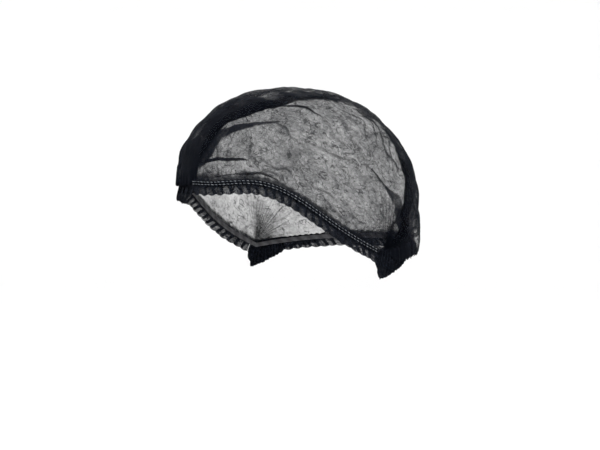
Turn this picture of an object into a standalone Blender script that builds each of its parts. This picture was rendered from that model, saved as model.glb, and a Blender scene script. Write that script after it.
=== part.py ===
"""Disposable mob cap of sheer non-woven cloth, held up in the shape that a head gives it.

Metres, +Z up, the brow towards -Y, the wearer's left side at +X. The origin is the middle of
the ear line, the straight line between the two gathered ends of the cloth.

The cloth is one strip. Its long edges are the brow edge and the nape edge, both gathered on
elastic, and its short ends are bunched to a point behind each ear. So every piece is worked
out from two angles: "swing", from the right ear at -90 degrees over to the left ear at +90,
and "place" across the strip, 0 at the brow edge and 1 at the nape edge.
"""

from collections import namedtuple
import math

import bpy
import numpy as np

# The main form, from the ear line
BROW_REACH = 0.129          # forward to the brow edge of the crown
BACK_REACH = 0.0945         # back to the fullest point of the puffed back
NAPE_REACH = 0.078          # back to the nape edge of the crown
EAR_HALF_SPAN = 0.085       # sideways to each gathered end
CROWN_HEIGHT = 0.135        # up to the top of the crown
BROW_HEIGHT = 0.059         # up to the brow edge, at the middle of the forehead
BROW_LIFT = 0.013           # extra rise of the brow edge over the temples
BROW_LIFT_FADE = 0.16       # share of the strip over which that rise fades
NAPE_RISE = 0.009           # up to the nape edge

# The cloth
CROWN_WALL = 0.0010
SEAM_GAP = 0.0003           # between pieces that meet
FOLD_DEPTH = 0.0026         # deepest fold that runs from ear to ear
FOLD_LIP = 0.45             # height of the lips beside a fold, as a share of its depth
FOLD_LIP_PLACE = 1.9        # where the lips stand, in widths of the fold
FOLD_FADE = 16              # degrees of swing over which a fold runs out
FAN_DEPTH = 0.0026          # depth of the folds that fan from each gathered end
FAN_FOLDS = 9               # number of those folds across the strip
FAN_START = 0.55            # share of the strip where they begin, counted from the brow
FAN_FULL = 0.75             # share where they have their full depth
FAN_MIDDLE = 20             # degrees of swing from the end to the middle of the fan
FAN_SPREAD = 15             # degrees of swing that the fan reaches to each side of that
FAN_SHIFT = 0.6             # how far the left fan's folds are turned against the right one's
PUCKER_DEPTH = 0.0013       # in and out of the gathers next to the hems
PUCKER_REACH = 0.055        # share of the strip that the gathers climb
DENT_DEPTH = 0.0034         # deepest of the broad dents
EDGE_FADE = 0.03            # share of the strip over which folds run out at the hems
END_FADE = 0.2              # the folds also run out where the strip is narrower than this share

# The hems and the elastic
HEM_HEIGHT = 0.0046
HEM_THICKNESS = 0.0018
HEM_ROLL = 0.0005           # how far the hem swells between its edges
ELASTIC_WIDTH = 0.0038
ELASTIC_THICKNESS = 0.0009

# The frills
FRILL_HEIGHT = 0.0068
FRILL_WALL = 0.0010
FRILL_DEPTH = 0.0019        # in and out of a pleat at the free edge
FRILL_TOP_DEPTH = 0.0005    # the same at the stitching
FRILL_PITCH = 0.0098        # from pleat to pleat
FRILL_SCALLOP = 0.0009      # how much lower the free edge hangs on a pleat's crest
FRILL_FLARE = 0.0016        # how far the free edge stands out from the stitching
FRILL_LEAN = 0.25           # how far the pleats lean, as a share of their pitch
FRILL_LEAN_END = 58         # degrees of swing past which they stand straight again

# The gathered ends
END_FRONT_WIDTH = 0.0050    # along the brow edge, forward of the ear line
END_REAR_WIDTH = 0.0300     # along the nape edge, behind the ear line
END_LENGTH = 0.0230         # from the edge of the crown down to the tip
END_GAP = 0.0014            # below the crown's wall, whose gathers dip beside the edge
END_FALL_REAR = 1.25        # power by which its free edge rises from the tip to the rear
END_TURN = 0.5              # power by which the ribs turn from the hem's way down to the nape's
END_WALL = 0.0022
END_RIB_DEPTH = 0.0008
END_RIB_PITCH = 0.0075      # from rib to rib
END_RIB_START = 0.3         # depth of the ribs at the seam, as a share of that at the tip
END_WAIST = 0.03            # how far the bunch narrows half way down, as a share of its width

# The mesh steps, counted as runs of faces
SWING_STEPS = 40
PLACE_STEPS = 44
FRONT_HEM_STEPS = 60
REAR_HEM_STEPS = 36
PLEAT_STEPS = 4
ELASTIC_FRONT_STEPS = 48
ELASTIC_REAR_STEPS = 30
END_COLUMNS = 21
END_ROWS = 5
ELASTIC_END_COLUMNS = 9

# Side profile of the crown at the middle of the head. "along" is a share of BROW_REACH in
# front and of BACK_REACH behind. "up" is a share of the way from the edge on that side to the
# top. "swell" widens the arc from ear to ear, and "square" below 1 makes it boxier.
Section = namedtuple("Section", "name along up swell square")
SECTIONS = (
    Section("brow edge", -1.00, 0.00, 0.03, 0.93),
    Section("forehead", -1.00, 0.26, 0.03, 0.94),
    Section("hairline", -0.885, 0.58, 0.07, 0.95),
    Section("top front", -0.655, 0.86, 0.16, 0.94),
    Section("top", -0.34, 0.99, 0.26, 0.92),
    Section("top back", 0.00, 0.975, 0.30, 0.91),
    Section("upper back", 0.45, 0.84, 0.24, 0.93),
    Section("back", 0.78, 0.60, 0.15, 0.95),
    Section("lower back", 0.905, 0.35, 0.07, 0.97),
    Section("puffed nape", 0.95, 0.14, 0.05, 0.97),
    Section("tuck", 0.935, 0.03, 0.04, 0.97),
    Section("nape edge", None, 0.00, 0.02, 0.97),
)

# Folds that run from ear to ear. "place" is where the fold crosses the middle of the head,
# "lean" is how much further back it lies at the ears, "depth" is a share of FOLD_DEPTH and
# "width" a share of the strip. "start" and "end" are swings in degrees.
Fold = namedtuple("Fold", "name place lean depth width start end")
FOLDS = (
    Fold("forehead crease", 0.042, 0.02, 0.50, 0.014, -28, 40),
    Fold("hairline fold", 0.112, 0.12, 0.70, 0.020, -50, 36),
    Fold("top front crease", 0.185, 0.14, 0.50, 0.020, -30, 54),
    Fold("top crease", 0.272, 0.12, 0.85, 0.022, -58, 40),
    Fold("crown crease", 0.345, 0.06, 0.45, 0.022, -20, 62),
    Fold("top back crease", 0.440, 0.08, 0.80, 0.024, -60, 50),
    Fold("upper back fold", 0.530, 0.05, 0.55, 0.022, -40, 66),
    Fold("back fold", 0.625, 0.04, 1.00, 0.026, -66, 70),
    Fold("low back crease", 0.705, 0.02, 0.50, 0.020, -66, 20),
    Fold("lower back fold", 0.785, 0.00, 0.95, 0.024, -50, 66),
    Fold("puffed nape fold", 0.880, -0.02, 0.80, 0.022, -62, 62),
)

# Broad dents. "swing" is in degrees, "place" and "reach" are shares of the strip, "spread" is
# in degrees of swing and "depth" is a share of DENT_DEPTH, below 0 where the cloth puffs out.
Dent = namedtuple("Dent", "name swing place spread reach depth")
DENTS = (
    Dent("left temple hollow", 66, 0.16, 12, 0.07, 0.50),
    Dent("right temple hollow", -64, 0.18, 12, 0.07, 0.50),
    Dent("left slanting fold", 66, 0.52, 6, 0.10, 0.90),
    Dent("left back hollow", 56, 0.60, 10, 0.05, 0.60),
    Dent("right back hollow", -58, 0.56, 10, 0.07, 0.80),
    Dent("left back puff", 40, 0.80, 16, 0.06, -0.60),
    Dent("right back puff", -44, 0.78, 16, 0.06, -0.60),
    Dent("top hollow", 8, 0.36, 16, 0.05, 0.40),
)

CLOTH_BLACK = (0.012, 0.013, 0.019, 1.0)
HEM_BLACK = (0.009, 0.010, 0.015, 1.0)
ELASTIC_BLACK = (0.020, 0.020, 0.024, 1.0)

QUARTER = math.pi / 2
POLE_STEP = math.radians(1.5)       # step away from a gathered end where a tangent is taken


def smooth_rows(rows, count):
    """Natural cubic curve through the rows, spaced by the length of their first two columns."""
    rows = np.asarray(rows, float)
    steps = np.linalg.norm(np.diff(rows[:, :2], axis=0), axis=1)
    knots = np.concatenate([[0.0], np.cumsum(steps)])
    size = len(rows)
    matrix = np.eye(size)
    bend_sums = np.zeros_like(rows)
    for i in range(1, size - 1):
        before, after = steps[i - 1], steps[i]
        matrix[i, i - 1:i + 2] = before, 2 * (before + after), after
        bend_sums[i] = 6 * ((rows[i + 1] - rows[i]) / after - (rows[i] - rows[i - 1]) / before)
    bends = np.linalg.solve(matrix, bend_sums)
    where = np.linspace(0.0, knots[-1], count)
    span = np.clip(np.searchsorted(knots, where, side="right") - 1, 0, size - 2)
    width = steps[span]
    near = ((knots[span + 1] - where) / width)[:, None]
    far = 1.0 - near
    sixth = (width ** 2 / 6)[:, None]
    straight = near * rows[span] + far * rows[span + 1]
    return straight + sixth * ((near ** 3 - near) * bends[span] + (far ** 3 - far) * bends[span + 1])


def profile_rows():
    """The side profile as rows of forward-and-back, height, swell and squareness."""
    rows = []
    top = max(section.up for section in SECTIONS)
    for section in SECTIONS:
        if section.along is None:
            reach = NAPE_REACH
        elif section.along < 0:
            reach = section.along * BROW_REACH
        else:
            reach = section.along * BACK_REACH
        edge = BROW_HEIGHT if reach < 0 else NAPE_RISE
        height = edge + section.up / top * (CROWN_HEIGHT - edge)
        rows.append((reach, height, section.swell, section.square))
    return rows


FINE_PLACES = 481
FINE_PROFILE = smooth_rows(profile_rows(), FINE_PLACES)


def crown_base(swing, place):
    """Points of the smooth crown, for arrays of swing in radians and place from 0 to 1."""
    swing, place = np.broadcast_arrays(np.asarray(swing, float), np.asarray(place, float))
    fine = np.linspace(0.0, 1.0, FINE_PLACES)
    along, height, swell, square = (np.interp(place, fine, FINE_PROFILE[:, c]) for c in range(4))
    turn = np.clip(np.cos(swing), 0.0, None)
    arc = turn ** square
    lift = BROW_LIFT * np.abs(np.sin(2 * swing)) ** 3 * np.exp(-(place / BROW_LIFT_FADE) ** 2)
    points = np.empty(swing.shape + (3,))
    points[..., 0] = EAR_HALF_SPAN * np.sin(swing) * (1 + swell * turn ** 2)
    points[..., 1] = arc * along
    points[..., 2] = arc * height + lift
    return points


def crown_outward(swing, place):
    """Unit vectors that point out of the smooth crown."""
    limit = QUARTER - POLE_STEP
    swing, place = np.broadcast_arrays(np.clip(swing, -limit, limit), np.clip(place, 0.004, 0.996))
    step = 0.003
    across = crown_base(swing + step, place) - crown_base(swing - step, place)
    back = crown_base(swing, place + step) - crown_base(swing, place - step)
    outward = np.cross(across, back)
    return outward / np.linalg.norm(outward, axis=-1, keepdims=True)


def smooth_window(value, start, end, soft):
    """1 between start and end, falling to 0 over "soft" beyond them."""
    rise = np.clip((value - start) / soft + 1, 0, 1)
    fall = np.clip((end - value) / soft + 1, 0, 1)
    return rise * rise * (3 - 2 * rise) * fall * fall * (3 - 2 * fall)


def crown_relief(swing, place):
    """How far the cloth stands out from the smooth crown: folds, fans, gathers and dents."""
    degrees = np.degrees(swing)
    turn = np.clip(np.cos(swing), 0.0, None)
    edge_fade = np.clip(np.minimum(place, 1 - place) / EDGE_FADE, 0, 1)
    relief = np.zeros(np.broadcast(swing, place).shape)
    for fold in FOLDS:
        centre = fold.place + fold.lean * (1 - turn)
        across = (place - centre) / fold.width
        valley = np.exp(-across ** 2) - FOLD_LIP * np.exp(-(np.abs(across) - FOLD_LIP_PLACE) ** 2)
        shown = smooth_window(degrees, fold.start, fold.end, FOLD_FADE)
        relief -= FOLD_DEPTH * fold.depth * valley * shown
    for dent in DENTS:
        away = ((degrees - dent.swing) / dent.spread) ** 2 + ((place - dent.place) / dent.reach) ** 2
        relief -= DENT_DEPTH * dent.depth * np.exp(-away)
    fan_window = np.exp(-((90 - np.abs(degrees) - FAN_MIDDLE) / FAN_SPREAD) ** 2)
    fan_window = fan_window * np.clip((place - FAN_START) / (FAN_FULL - FAN_START), 0, 1)
    fan_wave = np.cos(2 * math.pi * FAN_FOLDS * place + FAN_SHIFT * np.sign(swing))
    narrow = np.clip(turn / END_FADE, 0, 1)
    relief += FAN_DEPTH * fan_window * fan_wave
    relief *= edge_fade * narrow
    row = np.round((swing / QUARTER + 1) / 2 * SWING_STEPS)
    side_to_side = np.where(row % 2 == 0, 1.0, -1.0)
    from_edge = np.minimum(place, 1 - place) / PUCKER_REACH
    climb = from_edge * np.exp(1 - from_edge)
    relief += PUCKER_DEPTH * side_to_side * climb * np.exp(-from_edge) * narrow
    return relief


def edge_frame(place, swing):
    """Edge points of the crown with the unit vectors along it, out of it and down it."""
    swing = np.asarray(swing, float)
    limit = QUARTER - POLE_STEP
    points = crown_base(swing, place)
    held = np.clip(swing, -limit, limit)
    along = crown_base(held + POLE_STEP / 2, place) - crown_base(held - POLE_STEP / 2, place)
    along /= np.linalg.norm(along, axis=-1, keepdims=True)
    side = 1.0 if place > 0.5 else -1.0
    out = np.stack([-side * along[:, 1], side * along[:, 0], np.zeros(len(swing))], axis=-1)
    out /= np.linalg.norm(out, axis=-1, keepdims=True)
    down = np.cross(along, out) * -side
    down /= np.linalg.norm(down, axis=-1, keepdims=True)
    return points, along, out, down


def seam_start(place, swing, down):
    """Depth below the crown's edge line at which the next piece may start."""
    outward = crown_outward(swing, place)
    return CROWN_WALL / 2 * np.abs(np.sum(outward * down, axis=-1)) + SEAM_GAP


def edge_swing_limit(place, left_over):
    """Swing at which the crown's edge has the length "left_over" still to go to its end."""
    swings = np.linspace(QUARTER * 0.6, QUARTER, 400)
    points = crown_base(swings, place)
    steps = np.linalg.norm(np.diff(points, axis=0), axis=1)
    to_end = np.concatenate([np.cumsum(steps[::-1])[::-1], [0.0]])
    return float(np.interp(-left_over, -to_end, swings))


def end_width(place):
    """How far a gathered end reaches along the brow edge or the nape edge."""
    return END_REAR_WIDTH if place > 0.5 else END_FRONT_WIDTH


def even_swings(place, count):
    """Swings at even lengths along the crown's edge, between its two hem ends."""
    limit = edge_swing_limit(place, end_width(place) + SEAM_GAP)
    fine = np.linspace(-limit, limit, 800)
    points = crown_base(fine, place)
    run = np.concatenate([[0.0], np.cumsum(np.linalg.norm(np.diff(points, axis=0), axis=1))])
    return np.interp(np.linspace(0.0, run[-1], count + 1), run, fine), run[-1]


def cloth_material(name, colour, roughness):
    """A plain finish for one piece."""
    material = bpy.data.materials.new(name)
    material.use_nodes = True
    shader = material.node_tree.nodes["Principled BSDF"]
    shader.inputs["Base Color"].default_value = colour
    shader.inputs["Roughness"].default_value = roughness
    shader.inputs["Metallic"].default_value = 0.0
    return material


def add_object(name, points, faces, colour, roughness, wall):
    """A named object from a sheet of points, given its wall by a Solidify modifier."""
    mesh = bpy.data.meshes.new(name)
    mesh.from_pydata([tuple(p) for p in points], [], faces)
    mesh.validate()
    mesh.shade_smooth()
    mesh.materials.append(cloth_material(name + "_finish", colour, roughness))
    piece = bpy.data.objects.new(name, mesh)
    bpy.context.scene.collection.objects.link(piece)
    piece.parent = CAP
    if wall:
        solid = piece.modifiers.new("wall", "SOLIDIFY")
        solid.thickness = wall
        solid.offset = 0.0
    return piece


def sheet_faces(columns, rows, flip=False):
    """Quads of an open sheet whose points are listed column by column."""
    faces = []
    for c in range(columns - 1):
        for r in range(rows - 1):
            quad = (c * rows + r, (c + 1) * rows + r, (c + 1) * rows + r + 1, c * rows + r + 1)
            faces.append(quad[::-1] if flip else quad)
    return faces


def loop_faces(columns, rows, closed_columns):
    """Quads of a bar whose every column is a closed ring of points, with end caps if open."""
    faces = []
    for c in range(columns if closed_columns else columns - 1):
        here, there = c * rows, (c + 1) % columns * rows
        for r in range(rows):
            up = (r + 1) % rows
            faces.append((here + r, here + up, there + up, there + r))
    if not closed_columns:
        faces.append(tuple(range(rows))[::-1])
        faces.append(tuple(range((columns - 1) * rows, columns * rows)))
    return faces


def crown():
    """The sheer puffed cloth: one sheet that comes to a point at each gathered end."""
    inner = np.linspace(-QUARTER, QUARTER, SWING_STEPS + 1)[1:-1]
    places = np.linspace(0.0, 1.0, PLACE_STEPS + 1)
    swing, place = np.meshgrid(inner, places, indexing="ij")
    points = crown_base(swing, place)
    points += crown_relief(swing, place)[..., None] * crown_outward(swing, place)
    points = points.reshape(-1, 3)
    rows = PLACE_STEPS + 1
    right_tip, left_tip = len(points), len(points) + 1
    tips = crown_base([-QUARTER, QUARTER], [0.5, 0.5])
    faces = sheet_faces(len(inner), rows)
    last = (len(inner) - 1) * rows
    faces += [(right_tip, r, r + 1) for r in range(rows - 1)]
    faces += [(left_tip, last + r + 1, last + r) for r in range(rows - 1)]
    add_object("crown", np.concatenate([points, tips]), faces, CLOTH_BLACK, 0.85, CROWN_WALL)


def hem(name, place, steps):
    """The folded edge: a bar with a rounded front that hangs from the crown's edge."""
    swings, _ = even_swings(place, steps)
    points, _, out, down = edge_frame(place, swings)
    top = seam_start(place, swings, down)[:, None]
    half = HEM_THICKNESS / 2
    section = ((-half, 0.0), (half, 0.0), (half + HEM_ROLL, 0.5), (half, 1.0), (-half, 1.0))
    rings = [points + out * x + down * (top + HEM_HEIGHT * z) for x, z in section]
    rings = np.stack(rings, axis=1)
    faces = loop_faces(len(swings), len(section), False)
    if place > 0.5:
        faces = [face[::-1] for face in faces]
    add_object(name, rings.reshape(-1, 3), faces, HEM_BLACK, 0.8, 0.0)


def frill(name, place):
    """The pleated heading below a hem: a sheet folded to and fro, deeper at its free edge."""
    _, run = even_swings(place, 10)
    pleats = round(run / FRILL_PITCH)
    swings, _ = even_swings(place, pleats * PLEAT_STEPS)
    points, along, out, down = edge_frame(place, swings)
    top = seam_start(place, swings, down) + HEM_HEIGHT + SEAM_GAP
    phase = np.arange(len(swings)) * 2 * math.pi / PLEAT_STEPS
    wave = np.sin(phase)
    leaning = smooth_window(np.abs(np.degrees(swings)), 0, FRILL_LEAN_END, FRILL_LEAN_END / 10)
    upper = points + down * top[:, None] + out * (FRILL_TOP_DEPTH * wave)[:, None]
    hang = FRILL_HEIGHT + FRILL_SCALLOP * wave
    lower = points + down * (top + hang)[:, None] + out * (FRILL_FLARE + FRILL_DEPTH * wave)[:, None]
    lower += along * (FRILL_LEAN * FRILL_PITCH * leaning)[:, None]
    sheet = np.stack([upper, lower], axis=1)
    faces = sheet_faces(len(swings), 2, flip=place < 0.5)
    add_object(name, sheet.reshape(-1, 3), faces, HEM_BLACK, 0.85, FRILL_WALL)


def end_columns(side, count):
    """Edge points and vectors across a gathered end, from its brow side to its nape side."""
    front, rear = edge_swing_limit(0.0, END_FRONT_WIDTH), edge_swing_limit(1.0, END_REAR_WIDTH)
    before = max(2, round(count * END_FRONT_WIDTH / (END_FRONT_WIDTH + END_REAR_WIDTH)))
    front_swings = np.linspace(front, QUARTER, before + 1)
    rear_swings = np.linspace(QUARTER, rear, count - before)[1:]
    starts = np.concatenate([crown_base(side * front_swings, 0.0), crown_base(side * rear_swings, 1.0)])
    _, _, front_out, front_down = edge_frame(0.0, np.array([side * front]))
    _, _, rear_out, rear_down = edge_frame(1.0, np.array([side * rear]))
    share = np.linspace(0.0, 1.0, count)[:, None]
    out = front_out * (1 - share) + rear_out * share
    down = front_down * (1 - share ** END_TURN) + rear_down * share ** END_TURN
    out /= np.linalg.norm(out, axis=-1, keepdims=True)
    down /= np.linalg.norm(down, axis=-1, keepdims=True)
    return starts, out, down


def gathered_end(name, side):
    """The bunched end of the strip: ribs that run down from the crown to a slanting tip."""
    starts, out, down = end_columns(side, END_COLUMNS)
    steps = np.linalg.norm(np.diff(starts, axis=0), axis=1)
    along = np.concatenate([[0.0], np.cumsum(steps)]) - END_FRONT_WIDTH
    before = np.clip(-along / END_FRONT_WIDTH, 0, 1)
    behind = np.clip(along / along[-1], 0, 1)
    side_length = HEM_HEIGHT + FRILL_HEIGHT + 2 * SEAM_GAP
    reach = 1 - before - behind ** END_FALL_REAR
    length = side_length + (END_LENGTH - side_length) * reach
    rib = END_RIB_DEPTH * np.cos(2 * math.pi * along / END_RIB_PITCH)
    top = CROWN_WALL / 2 + END_GAP
    columns = []
    middle = starts[np.argmin(np.abs(along))]
    for c in range(END_COLUMNS):
        share = np.linspace(0.0, 1.0, END_ROWS + 1)[:, None]
        column = starts[c] + down[c] * (top + (length[c] - top) * share)
        column += (middle - starts[c]) * END_WAIST * np.sin(math.pi * share)
        column += out[c] * rib[c] * (END_RIB_START + (1 - END_RIB_START) * share)
        columns.append(column)
    faces = sheet_faces(END_COLUMNS, END_ROWS + 1, flip=side > 0)
    add_object(name, np.concatenate(columns), faces, HEM_BLACK, 0.85, END_WALL)


def elastic():
    """The flat loop of elastic on the inner face of the hems and the gathered ends."""
    front_swings, _ = even_swings(0.0, ELASTIC_FRONT_STEPS)
    rear_swings, _ = even_swings(1.0, ELASTIC_REAR_STEPS)
    front_points, _, front_out, front_down = edge_frame(0.0, front_swings)
    rear_points, _, rear_out, rear_down = edge_frame(1.0, rear_swings[::-1])
    left_points, left_out, left_down = end_columns(1, ELASTIC_END_COLUMNS)
    right_points, right_out, right_down = (side[::-1] for side in end_columns(-1, ELASTIC_END_COLUMNS))
    points = np.concatenate([front_points, left_points[1:-1], rear_points, right_points[1:-1]])
    out = np.concatenate([front_out, left_out[1:-1], rear_out, right_out[1:-1]])
    down = np.concatenate([front_down, left_down[1:-1], rear_down, right_down[1:-1]])
    carrier = max(HEM_THICKNESS / 2, END_WALL / 2 + END_RIB_DEPTH)
    inner = np.full(len(points), HEM_THICKNESS / 2)
    ends = np.zeros(len(points), bool)
    ends[len(front_points) - 1:len(front_points) + ELASTIC_END_COLUMNS - 1] = True
    ends[1 - ELASTIC_END_COLUMNS:] = True
    ends[0] = True
    inner[ends] = carrier
    middle = inner + SEAM_GAP + ELASTIC_THICKNESS / 2
    half_width, half_thick = ELASTIC_WIDTH / 2, ELASTIC_THICKNESS / 2
    centre = CROWN_WALL / 2 + SEAM_GAP + HEM_HEIGHT / 2
    section = ((-half_thick, -half_width), (half_thick, -half_width), (half_thick, half_width), (-half_thick, half_width))
    rings = [points + out * (x - middle)[:, None] + down * (centre + z) for x, z in section]
    faces = loop_faces(len(points), len(section), True)
    add_object("elastic", np.stack(rings, axis=1).reshape(-1, 3), faces, ELASTIC_BLACK, 0.7, 0.0)


for leftover in list(bpy.data.objects):
    bpy.data.objects.remove(leftover, do_unlink=True)

CAP = bpy.data.objects.new("mob_cap", None)
bpy.context.scene.collection.objects.link(CAP)

crown()
hem("front_hem", 0.0, FRONT_HEM_STEPS)
hem("rear_hem", 1.0, REAR_HEM_STEPS)
frill("front_frill", 0.0)
frill("rear_frill", 1.0)
gathered_end("left_end", 1)
gathered_end("right_end", -1)
elastic()
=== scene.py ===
"""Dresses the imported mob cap: one strip of black, sheer non-woven cloth, gathered on elastic.

Metres, +Z up, the brow towards -Y, the wearer's left side at +X. Every piece is worked out from
two parameters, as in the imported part: "swing", from the right end of the strip at -90 degrees
over to the left end at +90, and "place" across the strip, 0 at the brow edge and 1 at the nape.
"""

from dataclasses import dataclass, field
from enum import Enum
import logging
import math
from typing import NamedTuple

import bpy
import numpy as np
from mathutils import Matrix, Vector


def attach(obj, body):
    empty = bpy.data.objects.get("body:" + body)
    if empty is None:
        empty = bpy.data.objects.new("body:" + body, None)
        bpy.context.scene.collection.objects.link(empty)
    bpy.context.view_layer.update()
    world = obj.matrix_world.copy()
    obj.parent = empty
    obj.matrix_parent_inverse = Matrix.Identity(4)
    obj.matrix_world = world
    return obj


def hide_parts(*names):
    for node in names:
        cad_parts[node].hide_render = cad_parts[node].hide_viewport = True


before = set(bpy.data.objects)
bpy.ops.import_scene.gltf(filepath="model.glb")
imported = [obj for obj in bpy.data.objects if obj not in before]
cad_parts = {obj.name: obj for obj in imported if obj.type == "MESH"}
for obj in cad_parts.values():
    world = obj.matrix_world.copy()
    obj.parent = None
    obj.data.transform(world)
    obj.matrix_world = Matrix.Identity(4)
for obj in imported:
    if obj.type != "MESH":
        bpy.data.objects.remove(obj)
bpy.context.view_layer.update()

LOG = logging.getLogger("mob_cap")
BODY = "root"
QUARTER = math.pi / 2
POLE_STEP = math.radians(1.5)
MM = 0.001
PATH_UNITS = np.array((1 / 90, 1 / 1000, MM))

Path = tuple[tuple[float, ...], ...]


class Section(NamedTuple):
    """One row of the side profile at the middle of the strip, in shares of reach and height."""

    name: str
    along: float | None
    up: float
    swell: float
    square: float


class Fold(NamedTuple):
    """A soft fold that runs from end to end of the strip."""

    name: str
    place: float
    lean: float
    depth: float
    width: float
    start: float
    end: float


class Dent(NamedTuple):
    """A broad hollow, or a puff where its depth is below 0."""

    name: str
    swing: float
    place: float
    spread: float
    reach: float
    depth: float


class Crease(NamedTuple):
    """A thin crooked line pressed into the cloth; its width and depth are in millimetres.

    The path of a crease, tuck or stack has swings in degrees and places in thousandths.
    """

    name: str
    width: float
    depth: float
    layers: float
    path: Path


class Tuck(NamedTuple):
    """A stretch where the cloth lies folded over itself, so many millimetres to one side of a path."""

    name: str
    width: float
    side: float
    layers: float
    path: Path


class Stack(NamedTuple):
    """A dark zone of many pleated layers, or a thinner one where its layers are below 0.

    It lies to one side of a path, whose points also hold its reach there. The reach and the
    soft far side are in millimetres.
    """

    name: str
    side: float
    layers: float
    soft: float
    path: Path


class Edge(Enum):
    """The two gathered edges of the strip, by their place across it."""

    BROW = 0.0
    NAPE = 1.0


class Overhang(NamedTuple):
    """A stretch where the puffed cloth hangs down over a hem, between two swings in degrees."""

    name: str
    edge: Edge
    start: float
    end: float
    soft: float
    reach: float
    out: float
    drop: float


class Side(Enum):
    """The two ends of the strip, by the sign of their swing."""

    LEFT = 1.0
    RIGHT = -1.0


SECTIONS = (
    Section("brow edge", -1.00, 0.00, 0.03, 0.93),
    Section("forehead", -1.00, 0.26, 0.03, 0.94),
    Section("hairline", -0.885, 0.58, 0.07, 0.95),
    Section("top front", -0.655, 0.86, 0.16, 0.94),
    Section("top", -0.34, 0.99, 0.26, 0.92),
    Section("top back", 0.00, 0.975, 0.30, 0.91),
    Section("upper back", 0.45, 0.84, 0.24, 0.93),
    Section("back", 0.78, 0.60, 0.15, 0.95),
    Section("lower back", 0.905, 0.35, 0.07, 0.97),
    Section("puffed nape", 0.95, 0.14, 0.05, 0.97),
    Section("tuck", 0.935, 0.03, 0.04, 0.97),
    Section("nape edge", None, 0.00, 0.02, 0.97),
)

FOLDS = (
    Fold("forehead crease", 0.042, 0.02, 0.50, 0.014, -28, 40),
    Fold("hairline fold", 0.112, 0.12, 0.70, 0.020, -50, 36),
    Fold("top front crease", 0.185, 0.14, 0.50, 0.020, -30, 54),
    Fold("top crease", 0.272, 0.12, 0.85, 0.022, -58, 40),
    Fold("crown crease", 0.345, 0.06, 0.45, 0.022, -20, 62),
    Fold("top back crease", 0.440, 0.08, 0.80, 0.024, -60, 50),
    Fold("upper back fold", 0.530, 0.05, 0.55, 0.022, -40, 66),
    Fold("back fold", 0.625, 0.04, 1.00, 0.026, -66, 70),
    Fold("low back crease", 0.705, 0.02, 0.50, 0.020, -66, 20),
    Fold("lower back fold", 0.785, 0.00, 0.95, 0.024, -50, 66),
    Fold("puffed nape fold", 0.880, -0.02, 0.80, 0.022, -62, 62),
)

DENTS = (
    Dent("left temple hollow", 66, 0.16, 12, 0.07, 0.50),
    Dent("right temple hollow", -64, 0.18, 12, 0.07, 0.50),
    Dent("left slanting fold", 66, 0.52, 6, 0.10, 0.90),
    Dent("left back hollow", 56, 0.60, 10, 0.05, 0.60),
    Dent("right back hollow", -58, 0.56, 10, 0.07, 0.80),
    Dent("left back puff", 40, 0.80, 16, 0.06, -0.60),
    Dent("right back puff", -44, 0.78, 16, 0.06, -0.60),
    Dent("top hollow", 8, 0.36, 16, 0.05, 0.40),
)

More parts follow.
